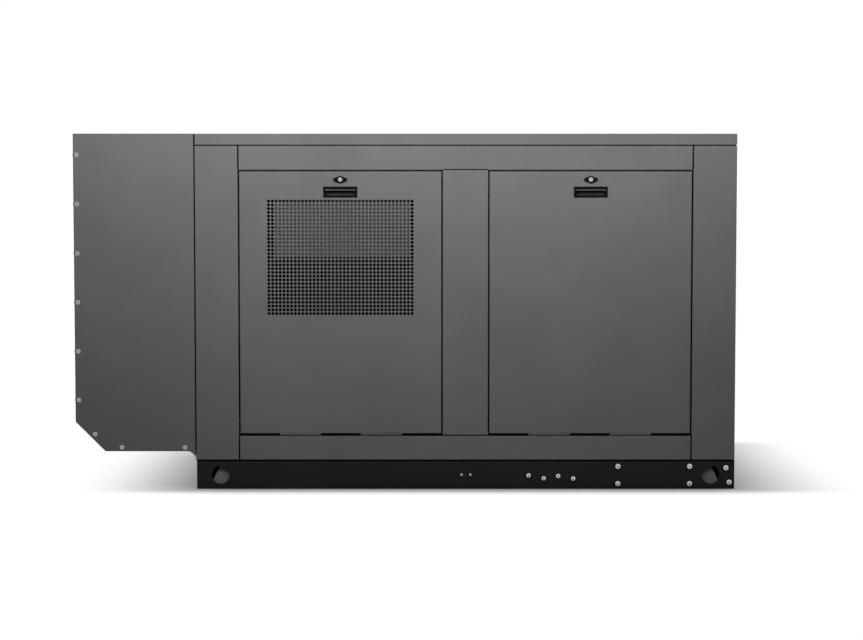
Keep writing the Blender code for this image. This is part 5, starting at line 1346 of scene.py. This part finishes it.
def stage():
    scene = bpy.context.scene

    def place(name, data, at, turn):
        thing = bpy.data.objects.new(name, data)
        thing.location = at
        thing.rotation_euler = turn
        scene.collection.objects.link(thing)
        return thing
    corners = rectangle((-FLOOR_HALF, FLOOR_HALF), (-FLOOR_HALF, FLOOR_HALF))
    mesh = bpy.data.meshes.new("studio_floor")
    mesh.from_pydata([(x, y, 0.0) for x, y in corners], [], [(0, 1, 2, 3)])
    mesh.materials.append(floor_material())
    place("studio_floor", mesh, (0.0, 0.0, 0.0), (0.0, 0.0, 0.0))

    t = Tree("studio_world", "worlds")
    scene.world = t.owner
    plain = t.nodes["Background"]
    t.feed(plain, {"Color": WHITE, "Strength": WORLD_LEVEL})
    white = t.node("Background", "Background", {"Color": WHITE, "Strength": 1.0})
    mixed = t.node("MixShader", "Shader", {0: t.seen(), 1: plain.outputs["Background"], 2: white})
    t.feed(t.nodes["World Output"], {"Surface": mixed})

    for name, (at, aim, width, power) in LIGHTS.items():
        data = bpy.data.lights.new(name, "AREA")
        data.shape = "RECTANGLE"
        data.size = width
        data.size_y = LIGHT_HEIGHT
        data.energy = power
        lamp = place(name, data, at, (Vector(aim) - Vector(at)).to_track_quat("-Z", "Y").to_euler())
        lamp.visible_camera = False
        lamp.visible_glossy = False

    data = bpy.data.cameras.new("camera")
    data.lens = 85.0
    data.sensor_width = 36.0
    data.clip_end = 100.0
    scene.camera = place("camera", data, CAMERA_PLACE, (math.radians(90 + CAMERA_PITCH), 0.0, 0.0))
    scene.view_settings.view_transform = "Standard"


# ---- finishes of the CAD nodes that show
COVERS = ("roof_panel", "radiator_bulkhead", "plenum_front_panel", "plenum_rear_panel", "plenum_wrap")
FRAME_PIECES = [f"{piece}_{label}" for piece in ("post_left", "post_centre", "post_right", "header", "sill")
                for label in SIDES]
BASE = ("base_rail_front", "base_rail_rear", "base_end_left", "base_end_right", "crossmember_engine",
        "crossmember_alternator", "crossmember_inlet", "floor_pan", "fan_shroud")
FINISH_OF = {"engine_block": ("engine", 0.003), "cylinder_head": ("engine", 0.003),
             "oil_pan": ("engine", 0.004), "air_cleaner": ("plastic", 0.004),
             "exhaust_manifold": ("hot_steel", 0.002), "muffler": ("galvanised", 0.003),
             "fan_belt": ("belt", 0.0), "alternator_housing": ("iron", 0.003), "battery": ("plastic", 0.002),
             "control_box": ("box_grey", 0.002), "crankshaft": ("steel", 0.0),
             "alternator_rotor": ("copper", 0.0), "radiator_fan": ("plastic", 0.001),
             "selector_switch": ("plastic", 0.0006), "stop_button": ("red", 0.001),
             "breaker_toggle": ("plastic", 0.0005)}


def dress_frame():
    for nodes, paint, bevel in ((COVERS, "charcoal", 0.0012), (FRAME_PIECES, "charcoal", 0.001),
                                (BASE, "black", 0.0012)):
        for node in nodes:
            dress(node, paint, bevel)
    for node, (paint, bevel) in FINISH_OF.items():
        dress(node, paint, bevel)


for build in (dress_frame, doors, plenum_screws, rail_bolts, seals_and_seams, inlet_filters, lifting_gussets,
              discharge_grille, end_louvres, roof_rivets, radiator, fan_guard, coolant_hoses, engine_fittings,
              intake, air_cleaner, exhaust, alternator, battery, control_panel, stage):
    build()
